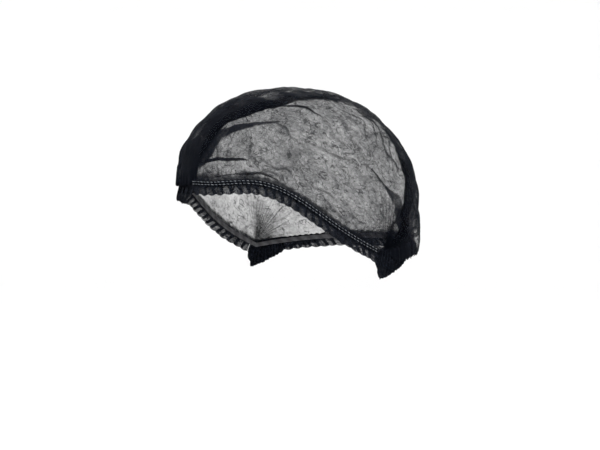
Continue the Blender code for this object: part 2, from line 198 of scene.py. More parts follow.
CREASES = (
    Crease("left brow crease", 1, 0.9, 3, ((26, 16), (31, 17), (35, 19), (38, 20), (41, 21), (43.5, 20),
        (45.5, 14), (49, 9))),
    Crease("left brow branch", 1, 0.7, 2.2, ((38, 27), (41, 33), (43.6, 33), (45.6, 33), (47.5, 37))),
    Crease("left brow slant", 1, 0.7, 2, ((37.5, 73), (40.5, 62), (42.7, 56), (45, 52), (47, 64),
        (48.6, 90))),
    Crease("left brow drop", 1, 0.6, 2, ((46.6, 60), (49.9, 74), (51.4, 60))),
    Crease("left short crease one", 1, 0.7, 2.6, ((10, 76), (11, 60), (12, 42))),
    Crease("left short crease two", 1, 0.7, 2.8, ((13.5, 92), (15.5, 70), (16.6, 42))),
    Crease("left short crease three", 1, 0.7, 2.1, ((21.5, 80), (22, 66), (22, 43))),
    Crease("left short crease four", 1, 0.7, 2.3, ((30.3, 116), (31.4, 94), (32.8, 70))),
    Crease("left short crease five", 1, 0.7, 2, ((8, 30), (11, 22), (14, 8))),
    Crease("left short crease six", 1, 0.7, 2, ((17, 38), (17.6, 20), (18.5, 6))),
    Crease("left short dash", 1.1, 0.6, 0.8, ((44.6, 155), (45.3, 134), (46, 114))),
    Crease("left hairline line", 1.1, 0.8, 2.2, ((28, 196), (33, 208), (37, 206), (40, 197), (43, 203))),
    Crease("left top line", 1.1, 0.8, 2, ((31.6, 409), (33.6, 418), (34.7, 439), (36.4, 455), (37.7, 474),
        (41.6, 476), (45.3, 466), (48.8, 458))),
    Crease("left top line two", 1.1, 0.8, 1.8, ((37.1, 511), (41.2, 512), (45.6, 509), (48.4, 505),
        (51.9, 498))),
    Crease("left top line three", 1.3, 0.9, 3, ((38.6, 545), (43, 546), (47.5, 545), (51.5, 548),
        (53.6, 574), (54.7, 612), (55.2, 652))),
    Crease("left top line four", 1.2, 0.8, 2.2, ((40.5, 571), (44.5, 578), (48, 577), (51.2, 576),
        (53.9, 597), (55, 617))),
    Crease("left top branch", 1, 0.7, 1.6, ((35.8, 480), (35.6, 505), (35.5, 529))),
    Crease("left high patch", 2.4, 0.8, 1.3, ((38.5, 386), (40.6, 391), (42.7, 394), (45.6, 399))),
    Crease("left low patch", 1.6, 0.8, 1.2, ((53.6, 283), (55.4, 285), (56.9, 292))),
    Crease("left middle line", 1.4, 1.1, 1.2, ((41, 216), (46, 226), (51, 252), (56, 294), (59, 346),
        (63.5, 403))),
    Crease("left slant upper", 1.3, 1.1, 2.4, ((60, 390), (62.8, 440), (66.2, 490), (69.1, 546))),
    Crease("left low line one", 1.1, 0.7, 1.4, ((56.5, 65), (60.8, 95), (65.3, 127), (69, 123))),
    Crease("left low line two", 1.1, 0.7, 1.4, ((63, 83), (66.8, 67), (71.2, 62), (75.8, 77))),
    Crease("right brow crease", 1.1, 0.3, 1.6, ((-12, 14), (-26, 30), (-39, 41), (-48, 30))),
    Crease("right short crease one", 0.8, 0.6, 0.8, ((-18, 100), (-19, 60), (-22, 18))),
    Crease("right short crease two", 0.8, 0.6, 0.8, ((-34, 90), (-35, 55), (-38, 18))),
    Crease("right low line", 0.9, 0.7, 0.7, ((-50, 850), (-58, 800), (-66, 780), (-74, 760))),
    Crease("back line one", 1, 0.9, 0.9, ((-18, 700), (-4, 715), (12, 704), (26, 730))),
    Crease("back line two", 1, 0.9, 0.8, ((-30, 820), (-14, 830), (4, 850), (20, 845))),
    Crease("back line three", 1, 0.8, 0.8, ((6, 560), (18, 590), (28, 640))),
)

TUCKS = (
    Tuck("left brow tuck", 3, 1, 3, ((4, 37), (12, 42), (20, 46), (27, 48), (33, 52))),
    Tuck("left hem tuck", 1.6, -1, 1.6, ((16, 10), (24, 13), (33, 18), (41, 21), (47, 13))),
    Tuck("left top tuck", 2.6, 1, 2.6, ((15, 208), (18.9, 232), (22.9, 256), (27.2, 289), (29.8, 309),
        (34.2, 322), (37.5, 340))),
    Tuck("left ridge tuck", 11, 1, 1, ((5.8, 50), (9.6, 90), (10.2, 122), (14.3, 162), (17.9, 190),
        (20.7, 222), (23.5, 253), (23.5, 286), (23.7, 318), (24.2, 365), (24.8, 418))),
    Tuck("left back tuck", 13, 1, 1, ((48, 630), (55, 662), (61, 682), (66, 698), (71, 710), (75, 754),
        (80, 794), (84, 800))),
)

STACKS = (
    Stack("left ridge stack", 1, 9, 14, ((2.6, 6, 50), (5.8, 50, 46), (9.6, 90, 42), (10.2, 122, 38),
        (14.3, 162, 36), (17.9, 190, 34), (20.7, 222, 28), (23.5, 253, 22), (23.5, 286, 9), (23.7, 318, 1))),
    Stack("left top stack", 1, 4, 8, ((17.9, 190, 1), (20.7, 222, 8), (23.5, 253, 18), (23.5, 286, 23),
        (23.7, 318, 21), (24.2, 365, 16), (24.8, 418, 11), (25.7, 449, 8), (28.5, 474, 6), (29, 509, 4))),
    Stack("left hairline stack", -1, 5.6, 1.2, ((5, 54, 9), (7.6, 90, 11.2), (8.4, 122, 10),
        (12.2, 133, 9), (16.5, 147, 7.6), (21.1, 163, 5.4), (25.1, 182, 3.6), (28.3, 199, 2),
        (31.1, 219, 0.8))),
    Stack("left back stack", 1, 5.5, 14, ((39.9, 574, 10), (46.9, 622, 18), (55, 662, 28),
        (60.8, 682, 30), (65.4, 695, 30), (67.6, 711, 30), (71.1, 705, 30), (73.1, 727, 30),
        (75, 754, 30), (77.6, 786, 30), (80.1, 812, 28), (82.5, 780, 26), (84.5, 690, 24), (86, 640, 22),
        (87, 600, 20))),
    Stack("left slant stack", 1, 4.5, 1.2, ((62.8, 440, 0.8), (66.2, 490, 1.6), (68.2, 530, 2.6),
        (69.1, 546, 4), (70.5, 564, 7), (72, 597, 9.5), (72.8, 628, 10.5), (74.8, 650, 10), (77, 700, 9))),
    Stack("left low stack", 1, 5, 1.2, ((72.6, 724, 0.6), (76.1, 698, 1.8), (78.8, 651, 3.6),
        (80.9, 625, 5.2), (84, 609, 6), (86.8, 595, 8))),
    Stack("near fringe", -1, -0.66, 6, ((-26, 50, 6), (-24.5, 82, 12), (-22.5, 107, 16), (-18.8, 156, 20),
        (-15, 205, 21), (-10, 260, 21), (-5, 315, 23), (0, 378, 26), (5, 433, 26), (10, 479, 22),
        (15, 520, 12))),
    Stack("far fringe", 1, -0.66, 10, ((-26, 50, 6), (-24.5, 82, 16), (-22.5, 107, 22), (-18.8, 156, 25),
        (-15, 205, 25), (-10, 260, 25), (-5, 315, 25), (0, 378, 25), (5, 433, 25), (10, 479, 22),
        (15, 520, 14))),
)

OVERHANGS = (
    Overhang("left nape overhang", Edge.NAPE, 50, 82, 9, 0.070, 0.0022, 0.0100),
    Overhang("right nape overhang", Edge.NAPE, -82, -50, 9, 0.070, 0.0022, 0.0100),
    Overhang("right brow overhang", Edge.BROW, -36, -2, 4, 0.035, 0.0019, 0.0080),
)


def run_along(points: np.ndarray) -> np.ndarray:
    """The length along a line of points up to each of them."""
    return np.concatenate([[0.0], np.cumsum(np.linalg.norm(np.diff(points, axis=0), axis=1))])


def joined(*parts: np.ndarray | float) -> np.ndarray:
    """Coordinates side by side, each spread to the shape that they share."""
    return np.stack(np.broadcast_arrays(*parts), axis=-1)


def spread(points: np.ndarray, out: np.ndarray, out_by: np.ndarray,
           down: np.ndarray, down_by: np.ndarray) -> np.ndarray:
    """A row of points beside each given point, so far out and so far down from it.

    Args:
        points: Points of three coordinates.
        out: The unit vector out at each point.
        out_by: Rows of distances along it.
        down: The unit vector down at each point.
        down_by: Rows of distances along it.

    Returns:
        Points of rows by columns by three coordinates.
    """
    return points[:, None] + out[:, None] * out_by[..., None] + down[:, None] * down_by[..., None]


def unit(vectors: np.ndarray) -> np.ndarray:
    """The vectors at length 1."""
    return vectors / np.maximum(np.linalg.norm(vectors, axis=-1, keepdims=True), 1e-12)


def ease(value: np.ndarray, start: float, end: float) -> np.ndarray:
    """Rises smoothly from 0 at start to 1 at end: 3 t squared less 2 t cubed."""
    share = np.clip((value - start) / (end - start), 0.0, 1.0)
    return share * share * (3 - 2 * share)


def window(value: np.ndarray, start: float, end: float, soft: float) -> np.ndarray:
    """1 between start and end, falling smoothly to 0 over soft beyond them."""
    return ease(value, start - soft, start) * (1 - ease(value, end, end + soft))


def smooth_rows(rows: np.ndarray, count: int) -> np.ndarray:
    """Natural cubic curve through rows, spaced by the length of their first two columns.

    Args:
        rows: The given rows, one for each knot.
        count: How many rows to give back, at even lengths.

    Returns:
        The rows along the curve.
    """
    knots = run_along(rows[:, :2])
    steps = np.diff(knots)
    size = len(rows)
    matrix = np.eye(size)
    bend_sums = np.zeros_like(rows)
    for i in range(1, size - 1):
        before, after = steps[i - 1], steps[i]
        matrix[i, i - 1:i + 2] = before, 2 * (before + after), after
        bend_sums[i] = 6 * ((rows[i + 1] - rows[i]) / after - (rows[i] - rows[i - 1]) / before)
    bends = np.linalg.solve(matrix, bend_sums)
    where = np.linspace(0.0, knots[-1], count)
    span = np.clip(np.searchsorted(knots, where, side="right") - 1, 0, size - 2)
    near = ((knots[span + 1] - where) / steps[span])[:, None]
    far = 1.0 - near
    sixth = (steps[span] ** 2 / 6)[:, None]
    straight = near * rows[span] + far * rows[span + 1]
    return straight + sixth * ((near ** 3 - near) * bends[span] + (far ** 3 - far) * bends[span + 1])


def smooth_path(path: Path, count: int) -> np.ndarray:
    """Rows of swing in radians, place and, for a stack, reach in metres along a smooth path.

    Args:
        path: The path of a crease, tuck or stack.
        count: How many rows to give back.

    Returns:
        The rows, at even lengths along it.
    """
    rows = smooth_rows(np.array(path) * PATH_UNITS[:len(path[0])], count)
    rows[:, 0] *= QUARTER
    return rows


def cloth_noise(points: np.ndarray, cell: float, seed: int) -> np.ndarray:
    """Smooth noise of about -0.7 to 0.7, the same at each run.

    Each corner of a lattice has a slope that a hash of its numbers picks. The noise is the mean
    of the eight slopes times the way from their corner, weighted by 6 t^5 - 15 t^4 + 10 t^3.

    Args:
        points: Points of three coordinates in metres.
        cell: The lattice step in metres.
        seed: Picks one of many patterns.

    Returns:
        One value for each point.
    """
    where = points / cell + seed * 17.371
    corner = np.floor(where).astype(np.int64)
    share = where - corner
    weight = share ** 3 * (share * (share * 6 - 15) + 10)
    total = np.zeros(points.shape[:-1])
    for offset in np.ndindex(2, 2, 2):
        at = corner + np.array(offset)
        code = (at[..., 0] * 73856093) ^ (at[..., 1] * 19349663) ^ (at[..., 2] * 83492791) ^ (seed * 49979687)
        code = ((code ^ (code >> 13)) * 1274126177) & 0xFFFFFFFF
        code = ((code ^ (code >> 15)) * 22695477) & 0xFFFFFFFF
        slopes = np.stack([code & 255, (code >> 8) & 255, (code >> 16) & 255], axis=-1) / 127.5 - 1
        reach = np.sum(slopes * (share - np.array(offset)), axis=-1)
        total += reach * np.prod(np.where(np.array(offset) == 1, weight, 1 - weight), axis=-1)
    return total


def crumple(points: np.ndarray, cell: float, seed: int) -> tuple[np.ndarray, np.ndarray]:
    """Crumpled cloth: flat facets that meet in crooked lines about one cell apart.

    The noise is read at places that a wider noise has moved, and its size is taken, so it
    folds along its own zero lines. The lines fade in and out with a third noise.

    Args:
        points: Points of three coordinates in metres.
        cell: About how far apart the lines lie, in metres.
        seed: Picks one of many patterns.

    Returns:
        The height of the facets from 0 to about 0.7, and the lines from 0 to 1.
    """
    moves = joined(*(cloth_noise(points, cell * 1.7, seed + k) for k in (1, 2, 3)))
    level = np.abs(cloth_noise(points + cell * 0.55 * moves, cell, seed))
    shown = ease(cloth_noise(points, cell * 2.3, seed + 4), -0.12, 0.28)
    return level, np.exp(-(level / 0.055) ** 2) * shown


@dataclass(frozen=True)
class CapForm:
    """The cap's smooth form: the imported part's profile and edges, its folds and dents shallower."""

    brow_reach: float = 0.129
    back_reach: float = 0.0945
    nape_reach: float = 0.078
    ear_half_span: float = 0.085
    crown_height: float = 0.135
    brow_height: float = 0.059
    brow_lift: float = 0.013
    brow_lift_fade: float = 0.16
    nape_rise: float = 0.009
    crown_wall: float = 0.0010
    seam_gap: float = 0.0003
    fold_depth: float = 0.0008
    fold_lip: float = 0.45
    fold_lip_place: float = 1.9
    fold_fade: float = 16
    dent_depth: float = 0.0024
    fan_depth: float = 0.0012
    fan_folds: int = 9
    fan_start: float = 0.55
    fan_full: float = 0.75
    fan_middle: float = 20
    fan_spread: float = 15
    fan_shift: float = 0.6
    edge_fade: float = 0.03
    end_fade: float = 0.2
    hem_height: float = 0.0046
    hem_thickness: float = 0.0018
    hem_roll: float = 0.0005
    frill_height: float = 0.0068
    end_front_width: float = 0.0050
    end_rear_width: float = 0.0300
    end_turn: float = 0.5
    fine_places: int = 481
    fine_runs: int = 1500
    profile: np.ndarray = field(init=False)

    def __post_init__(self) -> None:
        """Works out the side profile: reach, height, swell and squareness at even lengths."""
        rows = []
        top = max(section.up for section in SECTIONS)
        for section in SECTIONS:
            if section.along is None:
                reach = self.nape_reach
            else:
                reach = section.along * (self.brow_reach if section.along < 0 else self.back_reach)
            edge = self.brow_height if reach < 0 else self.nape_rise
            height = edge + section.up / top * (self.crown_height - edge)
            rows.append((reach, height, section.swell, section.square))
        object.__setattr__(self, "profile", smooth_rows(np.array(rows), self.fine_places))

    def base(self, swing: np.ndarray, place: np.ndarray) -> np.ndarray:
        """Points of the smooth crown: the side profile swung from ear to ear about the ear line.

        Args:
            swing: Angles from -90 to 90 degrees, in radians.
            place: Shares across the strip, from 0 to 1.

        Returns:
            Points of three coordinates.
        """
        swing, place = np.broadcast_arrays(np.asarray(swing, float), np.asarray(place, float))
        fine = np.linspace(0.0, 1.0, self.fine_places)
        along, height, swell, square = (np.interp(place, fine, column) for column in self.profile.T)
        turn = np.clip(np.cos(swing), 0.0, None)
        arc = turn ** square
        rise = np.abs(np.sin(2 * swing)) ** 3 * np.exp(-(place / self.brow_lift_fade) ** 2)
        return joined(self.ear_half_span * np.sin(swing) * (1 + swell * turn ** 2), arc * along,
                      arc * height + self.brow_lift * rise)

    def slopes(self, swing: np.ndarray, place: np.ndarray) -> tuple[np.ndarray, np.ndarray]:
        """How the smooth crown moves with swing and with place, by a small step to each side.

        Args:
            swing: Angles in radians.
            place: Shares across the strip.

        Returns:
            Movements of three coordinates for each radian and for the whole strip.
        """
        limit = QUARTER - POLE_STEP
        swing, place = np.broadcast_arrays(np.clip(swing, -limit, limit), np.clip(place, 0.004, 0.996))
        step = 0.003
        across = self.base(swing + step, place) - self.base(swing - step, place)
        back = self.base(swing, place + step) - self.base(swing, place - step)
        return across / (2 * step), back / (2 * step)

    def outward(self, swing: np.ndarray, place: np.ndarray) -> np.ndarray:
        """Unit vectors that point out of the smooth crown."""
        return unit(np.cross(*self.slopes(swing, place)))

    def relief(self, swing: np.ndarray, place: np.ndarray) -> np.ndarray:
        """The main folds, dents and end fans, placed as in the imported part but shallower.

        A fold is a valley exp(-a^2) less two lips beside it, where a is the distance from its
        line in widths. A dent is a bell in swing and place. A fan is a cosine across the strip.

        Args:
            swing: Angles in radians.
            place: Shares across the strip.

        Returns:
            Heights above the smooth crown, in metres.
        """
        degrees = np.degrees(swing)
        turn = np.clip(np.cos(swing), 0.0, None)
        relief = np.zeros(np.broadcast(swing, place).shape)
        for fold in FOLDS:
            across = (place - (fold.place + fold.lean * (1 - turn))) / fold.width
            lips = self.fold_lip * np.exp(-(np.abs(across) - self.fold_lip_place) ** 2)
            shown = window(degrees, fold.start, fold.end, self.fold_fade)
            relief -= self.fold_depth * fold.depth * (np.exp(-across ** 2) - lips) * shown
        for dent in DENTS:
            away = ((degrees - dent.swing) / dent.spread) ** 2 + ((place - dent.place) / dent.reach) ** 2
            relief -= self.dent_depth * dent.depth * np.exp(-away)
        fan = np.exp(-((90 - np.abs(degrees) - self.fan_middle) / self.fan_spread) ** 2)
        fan = fan * np.clip((place - self.fan_start) / (self.fan_full - self.fan_start), 0, 1)
        phase = 2 * math.pi * self.fan_folds * place + self.fan_shift * np.sign(swing)
        relief += self.fan_depth * fan * np.cos(phase)
        relief *= np.clip(np.minimum(place, 1 - place) / self.edge_fade, 0, 1)
        return relief * np.clip(turn / self.end_fade, 0, 1)

    def edge_frame(self, edge: Edge, swing: np.ndarray) -> tuple[np.ndarray, ...]:
        """Points of one edge of the crown with the unit vectors along, out of and down it.

        Args:
            edge: The edge.
            swing: Angles along it, in radians.

        Returns:
            The points and the three vectors at each, all of three coordinates.
        """
        limit = QUARTER - POLE_STEP
        held = np.clip(swing, -limit, limit)
        ahead, behind = (self.base(held + step, edge.value) for step in (POLE_STEP / 2, -POLE_STEP / 2))
        along = unit(ahead - behind)
        side = 1.0 if edge is Edge.NAPE else -1.0
        out = unit(joined(-side * along[:, 1], side * along[:, 0], 0.0))
        return self.base(swing, edge.value), along, out, unit(np.cross(along, out) * -side)

    def hem_frame(self, edge: Edge, swing: np.ndarray) -> tuple[np.ndarray, ...]:
        """The edge's points and vectors, and the depth below its line at which the hem starts.

        Args:
            edge: The edge.
            swing: Angles along it, in radians.

        Returns:
            What edge_frame gives, and the depths in metres.
        """
        points, along, out, down = self.edge_frame(edge, swing)
        tilt = np.abs(np.sum(self.outward(swing, edge.value) * down, axis=-1))
        return points, along, out, down, self.crown_wall / 2 * tilt + self.seam_gap

    def swing_limit(self, edge: Edge, left_over: float) -> float:
        """Swing at which the edge has the length left_over still to go to its end.

        Args:
            edge: The edge.
            left_over: The length in metres.

        Returns:
            The angle in radians.
        """
        swings = np.linspace(QUARTER * 0.6, QUARTER, 400)
        run = run_along(self.base(swings, edge.value))
        return float(np.interp(run[-1] - left_over, run, swings))

    def even_swings(self, edge: Edge, count: int) -> tuple[np.ndarray, float]:
        """Swings at even lengths along one edge between its two hem ends, and that length.

        Args:
            edge: The edge.
            count: How many even steps to make.

        Returns:
            The angles in radians and the length in metres.
        """
        end_width = self.end_front_width if edge is Edge.BROW else self.end_rear_width
        limit = self.swing_limit(edge, end_width + self.seam_gap)
        fine = np.linspace(-limit, limit, 1600)
        run = run_along(self.base(fine, edge.value))
        return np.interp(np.linspace(0.0, run[-1], count + 1), run, fine), float(run[-1])

    def swings_at(self, edge: Edge, run: np.ndarray) -> np.ndarray:
        """Swings at given lengths along one edge, from its right hem end."""
        swings, length = self.even_swings(edge, self.fine_runs)
        return np.interp(run / length * self.fine_runs, np.arange(self.fine_runs + 1), swings)

    def end_columns(self, side: Side, count: int) -> tuple[np.ndarray, np.ndarray, np.ndarray]:
        """Edge points and vectors across a gathered end, from its brow side to its nape side.

        Args:
            side: The end.
            count: About how many points to give.

        Returns:
            The points, the unit vectors out and those down, all of three coordinates.
        """
        front = self.swing_limit(Edge.BROW, self.end_front_width)
        rear = self.swing_limit(Edge.NAPE, self.end_rear_width)
        before = max(2, round(count * self.end_front_width / (self.end_front_width + self.end_rear_width)))
        front_swings = side.value * np.linspace(front, QUARTER, before + 1)
        rear_swings = side.value * np.linspace(QUARTER, rear, count - before)[1:]
        starts = np.concatenate([self.base(front_swings, 0.0), self.base(rear_swings, 1.0)])
        _, _, front_out, front_down = self.edge_frame(Edge.BROW, front_swings[:1])
        _, _, rear_out, rear_down = self.edge_frame(Edge.NAPE, rear_swings[-1:])
        share = np.linspace(0.0, 1.0, len(starts))[:, None]
        turned = share ** self.end_turn
        return (starts, unit(front_out * (1 - share) + rear_out * share),
                unit(front_down * (1 - turned) + rear_down * turned))


class Board:
    """One material's node tree, with short calls that add and join its nodes."""

    def __init__(self, name: str) -> None:
        """Makes a material of that name with its shader and the object's coordinates ready.

        Args:
            name: The material's name.
        """
        self.material = bpy.data.materials.new(name)
        self.material.use_nodes = True
        self.tree = self.material.node_tree
        self.shader = self.tree.nodes["Principled BSDF"]
        self.spots = self.add("ShaderNodeTexCoord").outputs["Object"]

    def add(self, kind: str, inputs: dict | None = None, **settings: object) -> bpy.types.Node:
        """Adds a node, sets its own settings and fills its inputs.

        Args:
            kind: The node's type.
            inputs: Sockets or plain values by the name or number of the input.
            settings: The values of its settings by name.

        Returns:
            The new node.
        """
        node = self.tree.nodes.new(kind)
        for name, value in settings.items():
            setattr(node, name, value)
        for key, source in (inputs or {}).items():
            self.feed(source, node.inputs[key])
        return node

    def feed(self, source: object, target: bpy.types.NodeSocket) -> None:
        """Joins a socket to an input, or sets the input to a plain value.

        Args:
            source: The socket or the value.
            target: The input.
        """
        if isinstance(source, bpy.types.NodeSocket):
            self.tree.links.new(source, target)
        else:
            target.default_value = source

    def math(self, operation: str, first: object, *others: object) -> bpy.types.NodeSocket:
        """Math nodes that take in sockets or numbers one after another, or one value alone.

        Args:
            operation: What each node does.
            first: The first socket or number.
            others: Those that are taken in after it.

        Returns:
            The last node's result.
        """
        for other in others or (0.0,):
            first = self.add("ShaderNodeMath", {0: first, 1: other}, operation=operation).outputs[0]
        return first

    def noise(self, step: float, detail: float = 2.0, distortion: float = 0.0,
              spots: bpy.types.NodeSocket | None = None) -> bpy.types.NodeSocket:
        """Noise whose lumps are about step metres apart, read at spots or at the object's coordinates."""
        return self.add("ShaderNodeTexNoise", {"Vector": spots or self.spots, "Scale": 1.0 / step,
                                               "Detail": detail, "Distortion": distortion}).outputs["Fac"]

    def ranged(self, value: bpy.types.NodeSocket, low: float, high: float, start: float,
               end: float, smooth: bool = False) -> bpy.types.NodeSocket:
        """Value carried from low..high to start..end, and held there beyond."""
        return self.add("ShaderNodeMapRange", {0: value, 1: low, 2: high, 3: start, 4: end},
                        interpolation_type="SMOOTHSTEP" if smooth else "LINEAR").outputs[0]

    def uneven(self, noise: bpy.types.NodeSocket, low: float, share: float) -> bpy.types.NodeSocket:
        """A factor that varies by a share to both sides of 1, as the noise does round its middle."""
        return self.ranged(noise, low, 1 - low, 1 - share, 1 + share)

    def colour(self, share: bpy.types.NodeSocket, first: tuple, second: tuple) -> None:
        """Gives the shader a colour between two.

        Args:
            share: How far it is from the first to the second, 0 to 1.
            first: The colour at 0, as red, green and blue.
            second: The colour at 1.
        """
        ends = {"Factor": share, "A": (*first, 1.0), "B": (*second, 1.0)}
        self.feed(self.add("ShaderNodeMix", ends, data_type="RGBA").outputs["Result"],
                  self.shader.inputs["Base Color"])

    def bump(self, height: bpy.types.NodeSocket, strength: float, distance: float) -> None:
        """Gives the shader a bump of that height."""
        node = self.add("ShaderNodeBump", {"Height": height, "Strength": strength, "Distance": distance})
        self.feed(node.outputs["Normal"], self.shader.inputs["Normal"])

    def pulled(self, way: tuple[float, float, float], stretch: float) -> bpy.types.NodeSocket:
        """The object's coordinates pressed together along one way, so a pattern is drawn out along it.

        Args:
            way: The unit vector of that way.
            stretch: How many times longer the pattern gets.

        Returns:
            The pressed coordinates.
        """
        along = self.add("ShaderNodeVectorMath", {0: self.spots, 1: way}, operation="DOT_PRODUCT")
        share = self.math("MULTIPLY", along.outputs["Value"], 1 / stretch - 1)
        back = self.add("ShaderNodeVectorMath", {0: way, "Scale": share}, operation="SCALE")
        moved = {0: self.spots, 1: back.outputs["Vector"]}
        return self.add("ShaderNodeVectorMath", moved, operation="ADD").outputs["Vector"]

    def lines(self, step: float, thin: float, spots: bpy.types.NodeSocket) -> bpy.types.NodeSocket:
        """Thin crooked creases: 1 where a noise of that step crosses its middle value."""
        level = self.math("ABSOLUTE", self.math("SUBTRACT", self.noise(step, 2.0, 0.8, spots), 0.5))
        return self.ranged(level, 0.0, thin, 1.0, 0.0, smooth=True)


@dataclass(frozen=True)
class SheerCloth:
    """See-through non-woven cloth: loose fibres, clouded, denser where it is creased or slants.

    What it lets through is exp(-depth * layers * way). The layers are one and those that the
    mesh stores, times an uneven density, and the wrinkles. The way grows with the slant, and
    more from rim_start to rim_end. The patterns are drawn out along pull. The colour is painted
    darker where many layers are stored: painted shade, as if the thick folds lay in shadow.
    """

    name: str
    depth: float = 0.54
    dark: tuple[float, float, float] = (0.0014, 0.0021, 0.0040)
    pale: tuple[float, float, float] = (0.0058, 0.0074, 0.0112)
    patching: float = 0.24
    clouding: float = 0.18
    fibre: float = 0.30
    wrinkle: float = 2.0
    pull: tuple[float, float, float] = (0.0, 0.82, -0.57)
    stretch: float = 1.8
    rim: float = 3.2
    rim_start: float = 0.65
    rim_end: float = 0.80
    roughness: float = 0.9
    gloss: float = 0.04

    def make(self) -> bpy.types.Material:
        """Builds the material.

        Returns:
            The material.
        """
        board = Board(self.name)
        pulled = board.pulled(self.pull, self.stretch)
        fibres = board.noise(0.0017, 3.0, 0.5, pulled)
        density = board.math("MULTIPLY",
                             board.uneven(board.noise(0.0070, 4.0, 0.4, pulled), 0.30, self.clouding),
                             board.uneven(fibres, 0.30, self.fibre),
                             board.uneven(board.noise(0.024, 2.0, 0.4, pulled), 0.32, self.patching))
        wide_fade = board.ranged(board.noise(0.011, 1.0), 0.44, 0.60, 0.0, 1.0)
        fine_fade = board.ranged(board.noise(0.0065, 1.0), 0.56, 0.42, 0.0, 0.55)
        wrinkles = board.math("ADD", board.math("MULTIPLY", board.lines(0.0085, 0.030, pulled), wide_fade),
                              board.math("MULTIPLY", board.lines(0.0042, 0.036, pulled), fine_fade))
        stored = board.add("ShaderNodeAttribute", attribute_name="layers").outputs["Fac"]
        layers = board.math("ADD", board.math("MULTIPLY", stored, density), density,
                            board.math("MULTIPLY", wrinkles, self.wrinkle))
        slant = board.add("ShaderNodeLayerWeight").outputs["Facing"]
        rim = board.ranged(slant, self.rim_start, self.rim_end, 0.0, self.rim, smooth=True)
        way = board.math("ADD", rim, 1.0, board.math("MULTIPLY", slant, 0.5))
        through = board.math("EXPONENT", board.math("MULTIPLY", layers, way, -self.depth))
        board.feed(board.math("SUBTRACT", 1.0, through), board.shader.inputs["Alpha"])
        # The fibres' own tone, times painted shade: the colour is darkened towards 0.15 of itself where 4.5
        # to 7 layers are stored.
        fibre_tone_and_painted_shade = board.math("MULTIPLY", board.ranged(fibres, 0.35, 0.70, 0.0, 1.0),
                         board.ranged(stored, 4.5, 7.0, 1.0, 0.15))
        board.colour(fibre_tone_and_painted_shade, self.dark, self.pale)
        board.bump(board.math("ADD", fibres, wrinkles), 0.5, 0.00025)
        board.shader.inputs["Roughness"].default_value = self.roughness
        board.shader.inputs["Specular IOR Level"].default_value = self.gloss
        return board.material


@dataclass(frozen=True)
class ThreadFinish:
    """Twisted thread or covered elastic: fine slanting ribs along the piece's own UV map."""

    name: str
    dark: tuple[float, float, float]
    pale: tuple[float, float, float]
    rib_step: float = 0.0004
    roughness: float = 0.6

    def make(self) -> bpy.types.Material:
        """Builds the material: a wave across the run, with uneven strength.

        Returns:
            The material.
        """
        board = Board(self.name)
        run = board.add("ShaderNodeUVMap").outputs["UV"]
        ribs = {"Vector": run, "Scale": 0.05 / self.rib_step, "Distortion": 1.0}
        wave = board.add("ShaderNodeTexWave", ribs, wave_type="BANDS", bands_direction="DIAGONAL")
        worn = board.ranged(board.noise(0.002), 0.3, 0.7, 0.6, 1.2)
        board.colour(board.math("MULTIPLY", wave.outputs["Fac"], worn), self.dark, self.pale)
        board.bump(wave.outputs["Fac"], 0.6, 0.0001)
        board.shader.inputs["Roughness"].default_value = self.roughness
        return board.material


def grid_faces(columns: int, rows: int, ring: bool = False, flip: bool = False) -> np.ndarray:
    """Quads between neighbouring columns and rows of points listed column by column.

    Args:
        columns: Number of columns.
        rows: Number of points in a column.
        ring: True if the last row joins the first.
        flip: True to turn the faces over.

    Returns:
        Four point numbers for each face.
    """
    column, row = np.meshgrid(np.arange(columns - 1), np.arange(rows if ring else rows - 1), indexing="ij")
    after = (row + 1) % rows
    quads = np.stack([column * rows + row, (column + 1) * rows + row,
                      (column + 1) * rows + after, column * rows + after], axis=-1).reshape(-1, 4)
    return quads[:, ::-1] if flip else quads


def tube_faces(rings: int, sides: int, flip: bool, starts: np.ndarray | int = 0) -> list[list[int]]:
    """Faces of closed tubes: quads between neighbouring rings and a flat cap at both ends.

    Args:
        rings: Number of rings in a tube.
        sides: Number of points in a ring.
        flip: True to turn the faces over.
        starts: The number of each tube's first point.

    Returns:
        Lists of point numbers.
    """
    quads = grid_faces(rings, sides, ring=True, flip=flip)
    caps = np.stack([np.arange(sides), np.arange(sides)[::-1] + (rings - 1) * sides])
    caps = caps[:, ::-1] if flip else caps
    starts = np.atleast_1d(starts)[:, None, None]
    return (quads + starts).reshape(-1, 4).tolist() + (caps + starts).reshape(-1, sides).tolist()


def make_piece(name: str, points: np.ndarray, faces: list, finish: SheerCloth | ThreadFinish,
               spots: np.ndarray | None = None, layers: np.ndarray | None = None) -> bpy.types.Object:
    """Puts points and faces into a smooth-shaded piece that rides with the cap.

    Args:
        name: The piece's name.
        points: Points of three coordinates.
        faces: Lists of point numbers.
        finish: Makes the material.
        spots: Two UV coordinates for each point, in metres along and across the piece.
        layers: Extra layers of cloth at each point.

    Returns:
        The new object.
    """
    mesh = bpy.data.meshes.new(name)
    mesh.from_pydata(points.reshape(-1, 3), [], faces)
    mesh.validate()
    mesh.polygons.foreach_set("use_smooth", np.ones(len(mesh.polygons), bool))
    corners = np.empty(len(mesh.loops), np.int32)
    mesh.loops.foreach_get("vertex_index", corners)
    if spots is not None:
        mesh.uv_layers.new(name="run").data.foreach_set("uv", spots.reshape(-1, 2)[corners].ravel())
    if layers is not None:
        mesh.attributes.new("layers", "FLOAT", "POINT").data.foreach_set("value", layers.ravel())
    mesh.materials.append(finish.make())
    mesh.update()
    piece = bpy.data.objects.new(name, mesh)
    bpy.context.scene.collection.objects.link(piece)
    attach(piece, BODY)
    LOG.info("%s: %d points, %d faces", name, len(mesh.vertices), len(mesh.polygons))
    return piece


